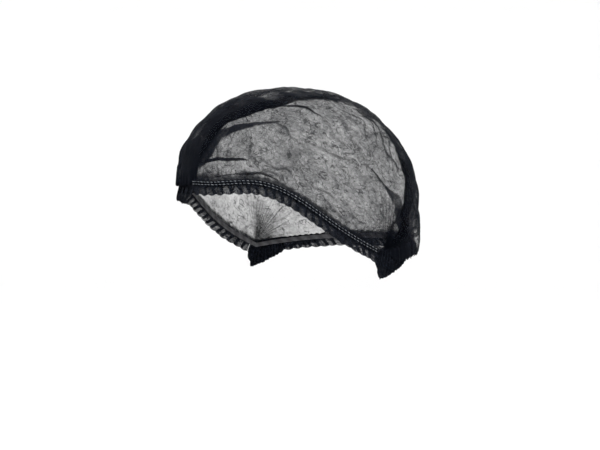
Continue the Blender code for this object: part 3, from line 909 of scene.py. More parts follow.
def along_line(points: np.ndarray, line: np.ndarray) -> tuple[np.ndarray, np.ndarray, np.ndarray]:
    """The nearest spot on a crooked line for each point.

    Each point is dropped on every straight stretch, held between its ends, and the nearest
    of the feet is kept.

    Args:
        points: Points of three coordinates.
        line: The line's corners.

    Returns:
        The share along the line, the way from the line and the line's direction.
    """
    starts, ways = line[:-1], np.diff(line, axis=0)
    rel = points[:, None] - starts[None]
    share = np.clip(np.sum(rel * ways, axis=-1) / np.sum(ways ** 2, axis=-1), 0.0, 1.0)
    gaps = rel - share[..., None] * ways
    near = np.argmin(np.sum(gaps ** 2, axis=-1), axis=1)
    pick = np.arange(len(points))
    return (near + share[pick, near]) / len(starts), gaps[pick, near], unit(ways[near])


@dataclass
class CrownCloth:
    """The sheer puffed cloth, one sheet that comes to a point at each gathered end.

    Its grid holds each point's swing, place and spot on the smooth crown, and the finished
    points, their normals and the extra layers of cloth.
    """

    form: CapForm
    finish: SheerCloth
    columns: int = 330
    rows: int = 290
    even_place: float = 0.42
    fine_steps: int = 1200
    crease_points: int = 48
    stack_points: int = 80
    calm_reach: float = 0.004
    tuck_in: tuple[float, ...] = (0.0022, 0.0010)
    crumple_steps: tuple[tuple[float, float, float, int], ...] = (
        (0.021, 0.0013, 0.40, 11), (0.0105, 0.0009, 0.30, 23), (0.0055, 0.0005, 0.12, 37))
    gather_pitch: float = 0.0052
    gather_depth: float = 0.0011
    gather_reach: float = 0.0050
    gather_layers: float = 3.4
    fine_fans: int = 27
    fine_fan_depth: float = 0.0011
    fine_fan_reach: float = 0.046
    end_layers: float = 3.0
    end_layers_reach: float = 0.026
    front_layers: float = 0.35
    stack_thinnest: float = 0.25
    stack_fade: float = 0.042
    thinnest: float = -0.85
    swing: np.ndarray = field(init=False)
    place: np.ndarray = field(init=False)
    base: np.ndarray = field(init=False)
    points: np.ndarray = field(init=False)
    normals: np.ndarray = field(init=False)
    layers: np.ndarray = field(init=False)

    def __post_init__(self) -> None:
        """Spaces the columns evenly over the top and works out the finished surface."""
        fine = np.linspace(-QUARTER, QUARTER, self.fine_steps)
        run = run_along(self.form.base(fine, self.even_place))
        swings = np.interp(np.linspace(0, run[-1], self.columns + 1), run, fine)[1:-1]
        self.swing, self.place = np.meshgrid(swings, np.linspace(0.0, 1.0, self.rows + 1), indexing="ij")
        self.base = self.form.base(self.swing, self.place)
        height, self.layers = self.surface()
        height += self.form.relief(self.swing, self.place)
        self.points = self.base + self.form.outward(self.swing, self.place) * height[..., None]
        for overhang in OVERHANGS:
            self.points += self.hung(overhang)
        self.normals = unit(np.cross(np.gradient(self.points, axis=0), np.gradient(self.points, axis=1)))

    def surface(self) -> tuple[np.ndarray, np.ndarray]:
        """The fine relief of the cloth and the extra layers that its folds add.

        It adds up crumpled facets at three sizes, gathers along both hems, fine pleats that
        fan out of the ends, the pressed creases, a denser front and the stacks.

        Returns:
            Heights in metres and layers of cloth.
        """
        turn = np.clip(np.cos(self.swing), 0.0, None)
        steps = np.linalg.norm(np.diff(self.base, axis=1), axis=-1)
        from_brow = np.pad(np.cumsum(steps, axis=1), ((0, 0), (1, 0)))
        from_nape = from_brow[:, -1:] - from_brow
        calm = np.clip(np.minimum(from_brow, from_nape) / self.calm_reach, 0, 1) * np.clip(turn / 0.12, 0, 1)
        height, layers = np.zeros((2, *turn.shape))
        for cell, depth, dense, seed in self.crumple_steps:
            level, lines = crumple(self.base, cell, seed)
            height += depth * (level - 0.2) * calm
            layers += dense * lines
        for edge, away in ((Edge.BROW, from_brow), (Edge.NAPE, from_nape)):
            rise, dense = self.gathers(edge, away)
            height += rise * np.clip(turn / 0.25, 0, 1)
            layers += dense
        rise, dense = self.end_pleats()
        height += rise * calm
        layers += dense + self.front_layers * (1 - ease(self.place, 0.08, 0.36))
        for crease in CREASES:
            near, rise, dense = self.pressed(crease)
            height[near] += rise
            layers[near] += dense
        for stack in STACKS:
            near, dense = self.stacked(stack)
            layers[near] += dense
        return height, np.maximum(layers, self.thinnest)

    def hung(self, overhang: Overhang) -> np.ndarray:
        """How far the cloth moves out and down where it hangs over a hem.

        With t the cube of the share from the start of the puff to the hem, it moves out by the
        root of sin(pi t) and down by its square, so that it comes back to the seam from above.

        Args:
            overhang: The stretch of cloth.

        Returns:
            Movements of three coordinates.
        """
        _, _, out, down = self.form.edge_frame(overhang.edge, self.swing[:, 0])
        to_hem = np.clip(1 - np.abs(self.place - overhang.edge.value) / overhang.reach, 0, 1)
        bell = np.sin(math.pi * to_hem ** 3)
        degrees = np.degrees(self.swing)
        uneven = cloth_noise(joined(degrees * 0.001, self.place * 0.1, 0.0), 0.006, 141)
        shown = window(degrees, overhang.start, overhang.end, overhang.soft) * (1 + 0.35 * uneven)
        return (out[:, None] * (overhang.out * np.sqrt(bell) * shown)[..., None]
                + down[:, None] * (overhang.drop * bell ** 2 * shown)[..., None])

    def gathers(self, edge: Edge, away: np.ndarray) -> tuple[np.ndarray, np.ndarray]:
        """Small puckers that climb from a hem: an uneven sine along it that dies away above it.

        Args:
            edge: The hem's edge.
            away: Distance of the grid's points from it.

        Returns:
            Heights in metres and layers of cloth.
        """
        fine = np.linspace(-QUARTER, QUARTER, self.fine_steps)
        run = np.interp(self.swing, fine, run_along(self.form.base(fine, edge.value)))
        spots = joined(run, edge.value, 0.0)
        tall = 0.5 + 5.2 * np.clip(cloth_noise(spots, 0.0075, 57) + 0.15, 0, 1) ** 1.5
        middle = 0.50 + 0.50 * np.exp(-(np.degrees(self.swing) / 30) ** 2)
        reach = self.gather_reach * tall * middle
        wave = np.sin(2 * math.pi * run / self.gather_pitch + 4.0 * cloth_noise(spots, 0.013, 51))
        rise = self.gather_depth * wave * np.exp(-(away / reach) ** 2) * (0.35 + 0.65 * ease(away, 0, 0.003))
        strip = self.gather_reach * middle * (1 + 0.9 * cloth_noise(spots + 0.02, 0.0045, 63))
        dense = self.gather_layers * np.exp(-(away / strip) ** 4)
        return rise, dense + 0.9 * np.clip(wave, 0, 1) ** 3 * np.exp(-(away / (1.4 * reach)) ** 2)

    def end_pleats(self) -> tuple[np.ndarray, np.ndarray]:
        """Fine pleats that fan out of the gathered ends: a cosine across the strip that dies away.

        Returns:
            Heights in metres and layers of cloth.
        """
        to_end = np.minimum(*(np.linalg.norm(self.base - self.base[end, -1], axis=-1) for end in (0, -1)))
        spots = joined(self.place * 0.3, to_end * 0.4, np.sign(self.base[..., 0]) * 0.1)
        far = self.fine_fan_reach * (0.75 + 0.9 * cloth_noise(spots, 0.012, 67))
        rear = ease(self.place, 0.30, 0.62)
        shown = np.exp(-(to_end / np.maximum(far, 0.012)) ** 2) * (0.15 + 0.85 * rear)
        wave = np.cos(2 * math.pi * self.fine_fans * self.place + 3.0 * cloth_noise(spots, 0.030, 61))
        dense = self.end_layers * np.exp(-(to_end / self.end_layers_reach) ** 2) * (0.12 + 0.88 * rear)
        return self.fine_fan_depth * wave * shown, dense + 1.1 * np.clip(-wave, 0, 1) ** 2 * shown

    def beside(self, knots: np.ndarray, margin: float) -> tuple[np.ndarray, ...]:
        """Finds the grid's points near a crooked line and how they lie beside it.

        Args:
            knots: Rows of swing and place along the line.
            margin: How far round the line's box points still count, in metres.

        Returns:
            Which points of the grid these are, their shares along the line, their distances from
            it and to its one side, and the line's length.
        """
        line = self.form.base(knots[:, 0], knots[:, 1])
        near = np.all((self.base > line.min(0) - margin) & (self.base < line.max(0) + margin), axis=-1)
        share, gap, way = along_line(self.base[near], line)
        sideways = np.cross(self.form.outward(self.swing[near], self.place[near]), way)
        return near, share, np.linalg.norm(gap, axis=-1), np.sum(sideways * gap, axis=-1), run_along(line)[-1]

    def pressed(self, crease: Crease) -> tuple[np.ndarray, np.ndarray, np.ndarray]:
        """One crease: a ridge exp(-d^2) beside a shallower valley, thinner towards both ends.

        Args:
            crease: The crease.

        Returns:
            Which points of the grid lie near it, their heights in metres and layers of cloth.
        """
        width = crease.width * MM
        near, share, away, side, _ = self.beside(smooth_path(crease.path, self.crease_points), 6 * width)
        side = side / width + 1.5 * cloth_noise(self.base[near], 0.006, 71)
        taper = np.sqrt(np.sin(math.pi * np.clip(share, 0.001, 0.999)))
        shown = taper * np.where((share > 0) & (share < 1), 1.0, np.exp(-(away / width) ** 2))
        rise = crease.depth * MM * shown * (np.exp(-side ** 2) - 0.6 * np.exp(-(side - 1.7) ** 2))
        return near, rise, crease.layers * shown * np.exp(-(side / 0.8) ** 2)

    def stacked(self, stack: Stack) -> tuple[np.ndarray, np.ndarray]:
        """One stack: a sharp start at its path, streaks along it and a softer far side.

        Args:
            stack: The stack.

        Returns:
            Which points of the grid lie near it and their layers of cloth.
        """
        knots = smooth_path(stack.path, self.stack_points)
        near, share, away, side, length = self.beside(knots, knots[:, 2].max())
        reach = np.interp(share, np.linspace(0, 1, len(knots)), knots[:, 2])
        away = away * np.sign(side * stack.side)
        away += np.minimum(0.0016, 0.2 * reach) * cloth_noise(self.base[near], 0.007, 131)
        shown = ease(away, -0.0005, 0.0006) * (1 - ease(away, reach - stack.soft * MM, reach + 0.0004))
        shown = shown * (1 - (1 - self.stack_thinnest) * np.clip(away / self.stack_fade, 0, 1))
        streaks = cloth_noise(joined(0.10 * share * length, away, 0.0), 0.0030, 139)
        clumps = cloth_noise(self.base[near], 0.014, 137)
        return near, stack.layers * shown * (1 + 0.3 * clumps + 0.7 * streaks)

    def read(self, values: np.ndarray, swing: np.ndarray, place: np.ndarray) -> np.ndarray:
        """Values of the finished grid between its points, mixed by their nearness.

        Args:
            values: Values of three coordinates at the grid's points.
            swing: Angles in radians.
            place: Shares across the strip.

        Returns:
            The values there.
        """
        last = len(self.swing) - 1
        column = np.interp(swing, self.swing[:, 0], np.arange(last + 1))
        row = np.clip(place, 0, 1) * self.rows
        c = np.clip(column.astype(int), 0, last - 1)
        r = np.clip(row.astype(int), 0, self.rows - 1)
        x, y = (column - c)[..., None], (row - r)[..., None]
        near = values[c, r] * (1 - y) + values[c, r + 1] * y
        far = values[c + 1, r] * (1 - y) + values[c + 1, r + 1] * y
        return near * (1 - x) + far * x

    def edge_rows(self, edge: Edge) -> np.ndarray:
        """Rows of points that carry the cloth down between the layers of a hem.

        Args:
            edge: The hem's edge.

        Returns:
            Points of columns by rows.
        """
        _, _, _, down = self.form.edge_frame(edge, self.swing[:, 0])
        held = down * np.clip(np.cos(self.swing[:, :1]) / 0.1, 0, 1)
        first = self.points[:, [0 if edge is Edge.BROW else -1]]
        return first + held[:, None] * np.array(self.tuck_in)[:, None]

    def build(self) -> bpy.types.Object:
        """Builds the cloth as one sheet with its two ends closed to a point.

        Returns:
            The piece.
        """
        brow, nape = self.edge_rows(Edge.BROW), self.edge_rows(Edge.NAPE)[:, ::-1]
        grid = np.concatenate([brow, self.points, nape], axis=1)
        layers = np.pad(self.layers, ((0, 0), (len(self.tuck_in),) * 2), mode="edge")
        columns, rows = grid.shape[:2]
        last = (columns - 1) * rows
        right = joined(columns * rows, np.arange(rows - 1), np.arange(1, rows))
        left = joined(columns * rows + 1, last + np.arange(1, rows), last + np.arange(rows - 1))
        faces = [*grid_faces(columns, rows).tolist(), *right.tolist(), *left.tolist()]
        tips = self.form.base(np.array([-QUARTER, QUARTER]), 0.5)
        points = np.concatenate([grid.reshape(-1, 3), tips])
        layers = np.concatenate([layers.ravel(), layers[[0, -1]].mean(axis=1)])
        piece = make_piece("crown_cloth", points, faces, self.finish, layers=layers)
        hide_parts("crown")
        return piece


@dataclass
class CrownTucks:
    """The stretches of the crown where the cloth is folded over itself, as flat folded strips."""

    crown: CrownCloth
    finish: SheerCloth
    steps: int = 170
    column: float = 0.0009
    lift: float = 0.00045
    thickness: float = 0.0007
    waver: float = 0.0011

    def strip(self, tuck: Tuck, seed: int) -> tuple[np.ndarray, np.ndarray]:
        """Points of one folded strip: a flat ring of points carried along the tuck's line.

        The ring goes out on the lower layer and comes back on the upper one, rounded at the
        fold. Its width rises from nothing at both ends and wavers. It is laid on the finished
        cloth by solving, from the crown's slopes, how swing and place change with the way out.

        Args:
            tuck: The tuck to build.
            seed: Picks how its edges waver.

        Returns:
            Points of columns by ring, and the ring's UV coordinates.
        """
        knots = smooth_path(tuck.path, self.steps)
        swing, place = knots[:, 0], np.clip(knots[:, 1], 0.004, 0.996)
        form = self.crown.form
        line = form.base(swing, place)
        way = unit(np.gradient(line, axis=0))
        sideways = tuck.side * unit(np.cross(form.outward(swing, place), way))
        share = np.linspace(0.0, 1.0, self.steps)
        run = share * run_along(line)[-1]
        spots = joined(run, 0.1 * seed, 0.0)
        widest = tuck.width * MM
        width = widest * np.sin(math.pi * share) ** 0.6 * (1 + 0.5 * cloth_noise(spots, 0.012, 81))
        start = self.waver * cloth_noise(spots, 0.008, 83) * np.sin(math.pi * share)
        across = max(6, round(widest / self.column) + 1)
        out = np.linspace(0.0, 1.0, across)
        ring_out = np.concatenate([out, out[::-1][1:-1]])
        upper = np.concatenate([np.zeros(across), np.ones(across - 2)])
        pinch = 0.5 * (1 - np.sin(math.pi * ring_out) ** 0.5)
        side = start[:, None] + width[:, None] * ring_out
        thick = self.thickness * np.clip(width / 0.003, 0.05, 1)[:, None]
        high = self.lift + thick * (upper + pinch * (1 - 2 * upper))
        by_swing, by_place = form.slopes(swing, place)
        a, b, c = np.sum(by_swing ** 2, -1), np.sum(by_swing * by_place, -1), np.sum(by_place ** 2, -1)
        d, e = np.sum(by_swing * sideways, -1), np.sum(by_place * sideways, -1)
        det = a * c - b * b
        limit = self.crown.swing[-1, 0]
        to_swing = np.clip(swing[:, None] + ((c * d - b * e) / det)[:, None] * side, -limit, limit)
        to_place = np.clip(place[:, None] + ((a * e - b * d) / det)[:, None] * side, 0.0, 1.0)
        normals = unit(self.crown.read(self.crown.normals, to_swing, to_place))
        points = self.crown.read(self.crown.points, to_swing, to_place) + normals * high[..., None]
        return points, joined(run[:, None], side)

    def build(self) -> bpy.types.Object:
        """Builds all tucks as one joined mesh.

        Returns:
            The piece.
        """
        points, faces, spots, layers = [], [], [], []
        for number, tuck in enumerate(TUCKS):
            strip, marks = self.strip(tuck, number)
            faces += tube_faces(*strip.shape[:2], tuck.side > 0, sum(map(len, points)))
            points.append(strip.reshape(-1, 3))
            spots.append(marks.reshape(-1, 2))
            layers.append(np.full(len(points[-1]), tuck.layers - 1))
        return make_piece("crown_tucks", np.concatenate(points), faces, self.finish,
                          np.concatenate(spots), np.concatenate(layers))


@dataclass
class Hem:
    """One gathered edge: the folded cloth on the elastic, with two sewn channels."""

    form: CapForm
    edge: Edge
    name: str
    finish: SheerCloth
    steps: int = 640
    face_rows: int = 17
    back_rows: int = 7
    channels: tuple[float, float] = (0.0011, 0.0031)
    channel_depth: float = 0.00030
    channel_width: float = 0.00045
    pucker_pitch: float = 0.0023
    pucker_depth: float = 0.00028
    corner: float = 0.0005

    def outer(self, run: np.ndarray, deep: np.ndarray) -> np.ndarray:
        """How far the outer face stands out: a low roll, pinched by the two rows of stitches.

        Args:
            run: Length along the hem.
            deep: Depth below the hem's top.

        Returns:
            Distance from the middle of the hem's thickness.
        """
        share = deep / self.form.hem_height
        pinch = sum(np.exp(-((deep - channel) / self.channel_width) ** 2) for channel in self.channels)
        uneven = cloth_noise(joined(run, deep * 0.35, 0.2 * self.edge.value), 0.004, 91)
        wave = np.sin(2 * math.pi * run / self.pucker_pitch + 5.0 * uneven)
        face = self.form.hem_thickness / 2 + self.form.hem_roll * np.sin(math.pi * np.clip(share, 0, 1))
        return face - self.channel_depth * pinch + self.pucker_depth * wave * (1 - 0.6 * pinch)

    def build(self) -> bpy.types.Object:
        """Builds the hem as a closed ring of points carried along the edge.

        Returns:
            The piece.
        """
        swings, length = self.form.even_swings(self.edge, self.steps)
        points, _, out, down, top = self.form.hem_frame(self.edge, swings)
        run = np.linspace(0.0, length, self.steps + 1)[:, None]
        height = self.form.hem_height
        face = np.linspace(0.0, height, self.face_rows)
        deep = np.concatenate([face, np.linspace(height * 0.93, height * 0.07, self.back_rows)])
        rounded = np.sqrt(np.clip(np.minimum(face, height - face) / self.corner, 0.08, 1))
        reach = np.pad(self.outer(run, face[None]) * rounded, ((0, 0), (0, self.back_rows)),
                       constant_values=-self.form.hem_thickness / 2)
        rings = spread(points, out, reach, down, top[:, None] + deep)
        faces = tube_faces(*rings.shape[:2], self.edge is Edge.BROW)
        piece = make_piece(self.name + "_cloth", rings, faces, self.finish,
                           joined(run, deep[None]), np.zeros(rings.shape[:2]))
        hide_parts(self.name)
        return piece


@dataclass
class Stitches:
    """Two rows of lock stitches on a hem, each stitch a short rounded bar of thread."""

    hem: Hem
    finish: ThreadFinish
    pitch: float = 0.0034
    length: float = 0.0024
    radius: float = 0.00020
    row_shift: float = 0.0009
    slant: float = 0.00012
    waver: float = 0.0003
    sides: int = 6
    rings: int = 5

    def build(self) -> bpy.types.Object:
        """Builds both rows as one mesh: a ring of points carried along each stitch's short line.

        Returns:
            The piece.
        """
        form, edge = self.hem.form, self.hem.edge
        _, length = form.even_swings(edge, form.fine_runs)
        count = int(length / self.pitch)
        share = np.linspace(-0.5, 0.5, self.rings)
        size = self.radius * np.tile(np.sqrt(np.clip(1 - (2 * share) ** 4, 0.06, 1)), count)[:, None]
        angles = np.arange(self.sides) * 2 * math.pi / self.sides
        points, spots = [], []
        for number, channel in enumerate(self.hem.channels):
            middles = (np.arange(count) + 0.5) * self.pitch + self.row_shift * number
            middles += self.waver * cloth_noise(joined(middles, 0.1 * number, edge.value), 0.002, 95)
            run = (middles[:, None] + share * self.length).ravel()
            line, _, out, down, top = form.hem_frame(edge, form.swings_at(edge, run))
            deep = top + channel + self.slant * 2 * np.tile(share, count)
            reach = self.hem.outer(run, np.full(run.size, channel)) + self.radius * 0.55
            points.append(spread(line, out, reach[:, None] + 0.7 * size * np.cos(angles),
                                 down, deep[:, None] + size * np.sin(angles)))
            spots.append(joined(run[:, None], angles * self.radius))
        starts = np.arange(count * len(points)) * self.rings * self.sides
        faces = tube_faces(self.rings, self.sides, edge is Edge.NAPE, starts)
        return make_piece(self.hem.name + "_stitches", np.concatenate(points), faces, self.finish,
                          np.concatenate(spots))


@dataclass
class Frill:
    """The knife-pleated heading that stands below a hem.

    Between the first two of low_swings, in degrees, it hangs lower by low_share and is denser.
    The third is over how many degrees that starts and ends.
    """

    form: CapForm
    edge: Edge
    name: str
    finish: SheerCloth
    low_share: float = 0.0
    low_swings: tuple[float, float, float] = (-44.0, -27.0, 14.0)
    pitch: float = 0.0076
    pleat_points: int = 18
    rows: int = 12
    under: float = 0.0016
    top_overlap: float = 0.50
    free_overlap: float = 0.36
    top_depth: float = 0.0008
    free_depth: float = 0.0024
    flare: float = 0.0014
    scallop: float = 0.0011
    held_back: float = 0.0006
    lean: float = 0.30
    end_flare: float = 0.3
    end_spread: float = 0.0006
    fold_layers: float = 0.8

    def build(self) -> bpy.types.Object:
        """Builds the frill as one pleated sheet.

        Across one pleat the cloth runs forward over its face, back under it and forward again,
        and it stands highest where it turns back. The overlap is less and the turn stands
        higher at the free edge, which hangs lowest at the middle of each face.

        Returns:
            The piece.
        """
        _, length = self.form.even_swings(self.edge, self.form.fine_runs)
        pleats = round(length / self.pitch)
        cloth = np.arange(pleats * self.pleat_points + 1) / self.pleat_points
        number, share = np.divmod(cloth, 1.0)
        spots = joined(number * 0.01, self.edge.value, 0.0) + 0.003
        odd, odd_low = cloth_noise(spots, 0.0083, 101), cloth_noise(spots, 0.0071, 103)[:, None]
        down_share = np.linspace(-self.under / self.form.frill_height, 1.0, self.rows)
        free = ease(down_share, 0.0, 1.0)
        overlap = self.top_overlap + (self.free_overlap - self.top_overlap) * free
        turns = (0.0, 0.54, 0.62, 0.75, 0.84, 1.0)
        columns = []
        for wide, open_share in zip(overlap, free):
            forward = np.interp(share, turns, (0.0, 0.97, 1.0, 1 - 0.9 * wide, 1 - wide, 1.0))
            stand = np.interp(share, turns, (0.0, 1.0, 0.80, 0.42, 0.22, 0.0))
            tall = self.top_depth + (self.free_depth * (1 + 0.9 * odd) - self.top_depth) * open_share
            columns.append(joined((number + forward) * length / pleats, stand * tall))
        along, stand = np.moveaxis(np.stack(columns, axis=1), -1, 0)
        upright = np.clip(np.minimum(cloth, pleats - cloth) / 3, 0, 1)[:, None]
        leaning = self.lean * self.pitch * free * (1 + 0.8 * odd_low) * upright
        run = np.clip(along + leaning, 0, length)
        swings = self.form.swings_at(self.edge, run)
        low = self.low_share * window(np.degrees(swings), *self.low_swings)
        face = np.sin(math.pi * np.clip(share / 0.6, 0, 1))[:, None]
        hang = self.form.frill_height - self.held_back + self.scallop * (face + 0.7 * odd_low)
        hang = hang * down_share * (1 + low)
        still = (self.end_flare + (1 - self.end_flare) * upright) * (1 - 0.4 * low)
        reach = (self.flare * free + stand) * still - self.top_depth / 2
        sideways = self.end_spread * free * (1 - upright) * np.sign(cloth - pleats / 2)[:, None]
        edge, way, out, down, top = self.form.hem_frame(self.edge, swings.ravel())
        deep = top[:, None] + self.form.hem_height + hang.reshape(-1, 1)
        points = edge + out * reach.reshape(-1, 1) + down * deep + way * sideways.reshape(-1, 1)
        faces = grid_faces(len(cloth), self.rows, flip=self.edge is Edge.BROW).tolist()
        layers = self.fold_layers * np.exp(-(np.clip(down_share, 0, 1) / 0.25) ** 2) + low
        piece = make_piece(self.name + "_cloth", points, faces, self.finish,
                           joined(run, hang), layers)
        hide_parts(self.name)
        return piece


@dataclass
class GatheredEnd:
    """The bunched end of the strip: close pleats pressed to a slanting point."""

    form: CapForm
    side: Side
    name: str
    finish: SheerCloth
    columns: int = 221
    rows: int = 34
    length: float = 0.0230
    fall_front: float = 1.0
    fall_rear: float = 1.25
    wall: float = 0.0026
    rib_pitch: float = 0.0031
    rib_depth: float = 0.0009
    waist: float = 0.004
    tuck_up: float = 0.0012
    ragged_wide: float = 0.0011
    ragged_fine: float = 0.0007

    def build(self) -> bpy.types.Object:
        """Builds the end as a closed shell: down the outer face, round the tip and up behind.

        Returns:
            The piece.
        """
        starts, out, down = self.form.end_columns(self.side, self.columns)
        along = run_along(starts) - self.form.end_front_width
        across = np.where(along < 0, along / self.form.end_front_width, along / along[-1])
        side_length = self.form.hem_height + self.form.frill_height + 2 * self.form.seam_gap
        reach = 1 - np.abs(across) ** np.where(across < 0, self.fall_front, self.fall_rear)
        spots = joined(along, self.side.value, 0.0)
        ragged = self.ragged_wide * cloth_noise(spots, 0.0016, 111)
        ragged += self.ragged_fine * cloth_noise(spots, 0.0006, 113)
        length = (side_length + (self.length - side_length) * reach + ragged)[:, None]
        share = np.linspace(0.0, 1.0, self.rows)
        top = self.form.crown_wall / 2 + self.form.seam_gap - self.tuck_up
        uneven = cloth_noise(joined(along[:, None], self.side.value, 0.004 * share), 0.005, 117)
        rib = np.cos(along[:, None] * 2 * math.pi / self.rib_pitch + 2.2 * uneven)
        rib = self.rib_depth * rib * (0.35 + 0.65 * share)
        thick = self.wall * np.sqrt(np.clip(1 - across ** 2, 0.02, 1))[:, None]
        thick = thick * np.sqrt(np.clip((1 - share) / 0.12, 0.03, 1)) * (0.55 + 0.45 * ease(share, 0, 0.15))
        squeeze = (self.waist * np.sin(math.pi * share))[:, None]
        middle = starts[np.argmin(np.abs(along))]
        front, back = (spread(starts, out, rib + way * thick / 2, down, top + (length - top) * share)
                       + (middle - starts)[:, None] * squeeze for way in (1, -1))
        shell = np.concatenate([front, back[:, ::-1]], axis=1)
        faces = tube_faces(*shell.shape[:2], self.side is Side.LEFT)
        marks = joined(along[:, None], np.concatenate([share, -share[::-1]]) * self.length)
        piece = make_piece(self.name + "_cloth", shell, faces, self.finish,
                           marks, np.zeros(shell.shape[:2]))
        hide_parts(self.name)
        return piece


@dataclass
class Elastic:
    """The flat covered elastic inside the hems and the two ends, one closed loop."""

    form: CapForm
    finish: ThreadFinish
    front_steps: int = 360
    rear_steps: int = 220
    end_steps: int = 17
    sides: int = 12
    width: float = 0.0038
    thickness: float = 0.0009
    end_carrier: float = 0.0019
    ripple: float = 0.00012
    ripple_pitch: float = 0.0031

    def build(self) -> bpy.types.Object:
        """Builds the loop: a rounded flat section carried round the inner face of the hems.

        Returns:
            The piece.
        """
        form = self.form
        front = form.edge_frame(Edge.BROW, form.even_swings(Edge.BROW, self.front_steps)[0])
        rear = form.edge_frame(Edge.NAPE, form.even_swings(Edge.NAPE, self.rear_steps)[0][::-1])
        left = (part[1:-1] for part in form.end_columns(Side.LEFT, self.end_steps))
        right = (part[-2:0:-1] for part in form.end_columns(Side.RIGHT, self.end_steps))
        hems = ((front[k], rear[k]) for k in (0, 2, 3))
        points, out, down = (np.concatenate([at_front, at_left, at_rear, at_right])
                             for (at_front, at_rear), at_left, at_right in zip(hems, left, right))
        turn = ease(np.clip(np.abs(points[:, 0]) / form.ear_half_span, 0, 1), 0.985, 0.999)
        inner = form.hem_thickness / 2 + (self.end_carrier - form.hem_thickness / 2) * turn
        run = run_along(points)
        rippled = self.ripple * np.sin(2 * math.pi * run / self.ripple_pitch)
        middle = inner + form.seam_gap + self.thickness / 2 + rippled
        centre = form.crown_wall / 2 + form.seam_gap + form.hem_height / 2
        angles = np.arange(self.sides) * 2 * math.pi / self.sides
        across, through = (size / 2 * np.sign(wave) * np.abs(wave) ** 0.4
                           for size, wave in ((self.width, np.sin(angles)), (self.thickness, np.cos(angles))))
        rings = spread(points, out, through - middle[:, None], down, (centre + across)[None])
        faces = grid_faces(len(rings) + 1, self.sides, ring=True, flip=True) % (len(rings) * self.sides)
        piece = make_piece("elastic_band", rings, faces.tolist(), self.finish,
                           joined(run[:, None], across))
        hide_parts("elastic")
        return piece


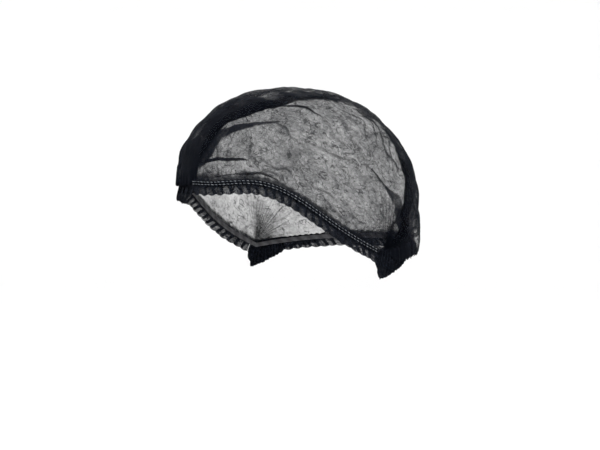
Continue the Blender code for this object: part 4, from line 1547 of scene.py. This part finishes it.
@dataclass(frozen=True)
class Studio:
    """The plain pale floor that curves up all round, the soft lights and the camera."""

    floor_height: float = -0.30
    floor_reach: float = 2.6
    wall_bend: float = 1.6
    wall_height: float = 4.5
    sides: int = 96
    paint: tuple[float, float, float] = (0.90, 0.90, 0.90)
    paint_roughness: float = 0.9
    world_light: float = 1.2
    lamps: tuple[tuple, ...] = (("key_light", 20, 1.5, 1.6, 1.2, 26), ("fill_light", 120, 0.9, 1.9, 1.4, 12))
    see_through_bounces: int = 40
    lens: float = 85.0
    azimuth: float = 50.0
    elevation: float = 3.0
    distance: float = 1.204
    target: tuple[float, float, float] = (0.0, -0.0215, 0.019)
    shift_right: float = 0.0025

    def backdrop(self) -> None:
        """Makes the floor: a flat disc whose rim bends up, one profile turned all round."""
        bend = np.linspace(0, QUARTER, 13)
        out = np.concatenate([[0.0, self.floor_reach * 0.5], self.floor_reach + self.wall_bend * np.sin(bend),
                              [self.floor_reach + self.wall_bend]])
        up = np.concatenate([[0.0, 0.0], self.wall_bend * (1 - np.cos(bend)), [self.wall_height]])
        angles = (np.arange(self.sides) * 2 * math.pi / self.sides)[:, None]
        points = joined(out * np.cos(angles), out * np.sin(angles), up + self.floor_height)
        faces = grid_faces(self.sides + 1, len(out), flip=True) % (self.sides * len(out))
        mesh = bpy.data.meshes.new("pale_floor")
        mesh.from_pydata(points.reshape(-1, 3), [], faces.tolist())
        mesh.polygons.foreach_set("use_smooth", np.ones(len(mesh.polygons), bool))
        paint = bpy.data.materials.new("pale_paint")
        paint.use_nodes = True
        shader = paint.node_tree.nodes["Principled BSDF"]
        shader.inputs["Base Color"].default_value = (*self.paint, 1.0)
        shader.inputs["Roughness"].default_value = self.paint_roughness
        mesh.materials.append(paint)
        floor = bpy.data.objects.new("pale_floor", mesh)
        bpy.context.scene.collection.objects.link(floor)

    def aimed(self, name: str, data: bpy.types.ID, back: np.ndarray, aim: np.ndarray) -> bpy.types.Object:
        """Links a light or camera that looks at a spot from some way back.

        Args:
            name: The new object's name.
            data: The light or camera.
            back: The way from the spot to it.
            aim: The spot.

        Returns:
            The new object.
        """
        thing = bpy.data.objects.new(name, data)
        thing.location = aim + back
        thing.rotation_mode = "QUATERNION"
        thing.rotation_quaternion = Vector(-back).to_track_quat("-Z", "Y")
        bpy.context.scene.collection.objects.link(thing)
        return thing

    def lamp(self, name: str, azimuth: float, height: float, away: float, size: float, power: float) -> None:
        """Adds one square soft light that faces the cap.

        Args:
            name: The light's name.
            azimuth: Degrees round from the brow, towards the wearer's left.
            height: Height above the cap in metres.
            away: Level distance from it in metres.
            size: The light's side in metres.
            power: Its power in watts.
        """
        data = bpy.data.lights.new(name, "AREA")
        data.shape, data.size, data.energy = "SQUARE", size, power
        angle = math.radians(azimuth)
        back = np.array([math.sin(angle) * away, -math.cos(angle) * away, height])
        self.aimed(name, data, back, np.zeros(3))

    def build(self) -> None:
        """Sets up the floor, the lights, the plain view and the camera."""
        scene = bpy.context.scene
        self.backdrop()
        world = bpy.data.worlds.new("soft_room")
        world.use_nodes = True
        world.node_tree.nodes["Background"].inputs["Color"].default_value = (1.0, 1.0, 1.0, 1.0)
        world.node_tree.nodes["Background"].inputs["Strength"].default_value = self.world_light
        scene.world = world
        for lamp in self.lamps:
            self.lamp(*lamp)
        scene.view_settings.view_transform = "Standard"
        scene.cycles.transparent_max_bounces = self.see_through_bounces
        turn, tilt = math.radians(self.azimuth), math.radians(self.elevation)
        back = np.array([math.sin(turn) * math.cos(tilt), -math.cos(turn) * math.cos(tilt), math.sin(tilt)])
        right = np.array([math.cos(turn), math.sin(turn), 0.0])
        data = bpy.data.cameras.new("camera")
        data.lens = self.lens
        aim = np.array(self.target) + right * self.shift_right
        scene.camera = self.aimed("camera", data, back * self.distance, aim)


def main() -> None:
    """Builds the cap piece by piece, then the studio, and reports each piece."""
    logging.basicConfig(level=logging.INFO, format="%(name)s %(message)s")
    form = CapForm()
    sheer = SheerCloth("sheer_black_cloth")
    tucked = SheerCloth("tucked_black_cloth", depth=0.50, rim=1.2, wrinkle=0.3)
    gathered = SheerCloth("gathered_black_cloth", depth=1.7, rim=1.0, clouding=0.25)
    pleated = SheerCloth("pleated_black_cloth", depth=2.1, rim=1.0, clouding=0.30, pale=(0.012, 0.014, 0.019))
    bunched = SheerCloth("bunched_black_cloth", depth=3.0, rim=0.5, clouding=0.20)
    thread = ThreadFinish("grey_thread", (0.10, 0.11, 0.12), (0.31, 0.33, 0.35))
    # The grey thread again, painted much darker for the rear stitches: painted shade, as the rear lies in
    # shadow.
    rear_thread_with_painted_shade = ThreadFinish("thread_with_painted_shade", (0.006, 0.007, 0.009), (0.030, 0.033, 0.038))
    band = ThreadFinish("covered_elastic", (0.010, 0.010, 0.012), (0.045, 0.045, 0.050), rib_step=0.0008)

    crown = CrownCloth(form, sheer)
    cloth = crown.build()
    trims = [CrownTucks(crown, tucked).build()]
    for edge, name, steps, sewing, low_share, flat_run in (
            (Edge.BROW, "front", 640, thread, 1.0, 0.56), (Edge.NAPE, "rear", 380, rear_thread_with_painted_shade, 0.0, 0.24)):
        hem = Hem(form, edge, name + "_hem", gathered, steps)
        trims += [hem.build(), Stitches(hem, sewing).build()]
        frill = Frill(form, edge, name + "_frill", pleated, low_share).build()
    for side, name in ((Side.LEFT, "left_end"), (Side.RIGHT, "right_end")):
        trims.append(GatheredEnd(form, side, name, bunched).build())
    trims.append(Elastic(form, band).build())
    Studio().build()
    LOG.info("all pieces built")


if __name__ == "__main__":
    main()
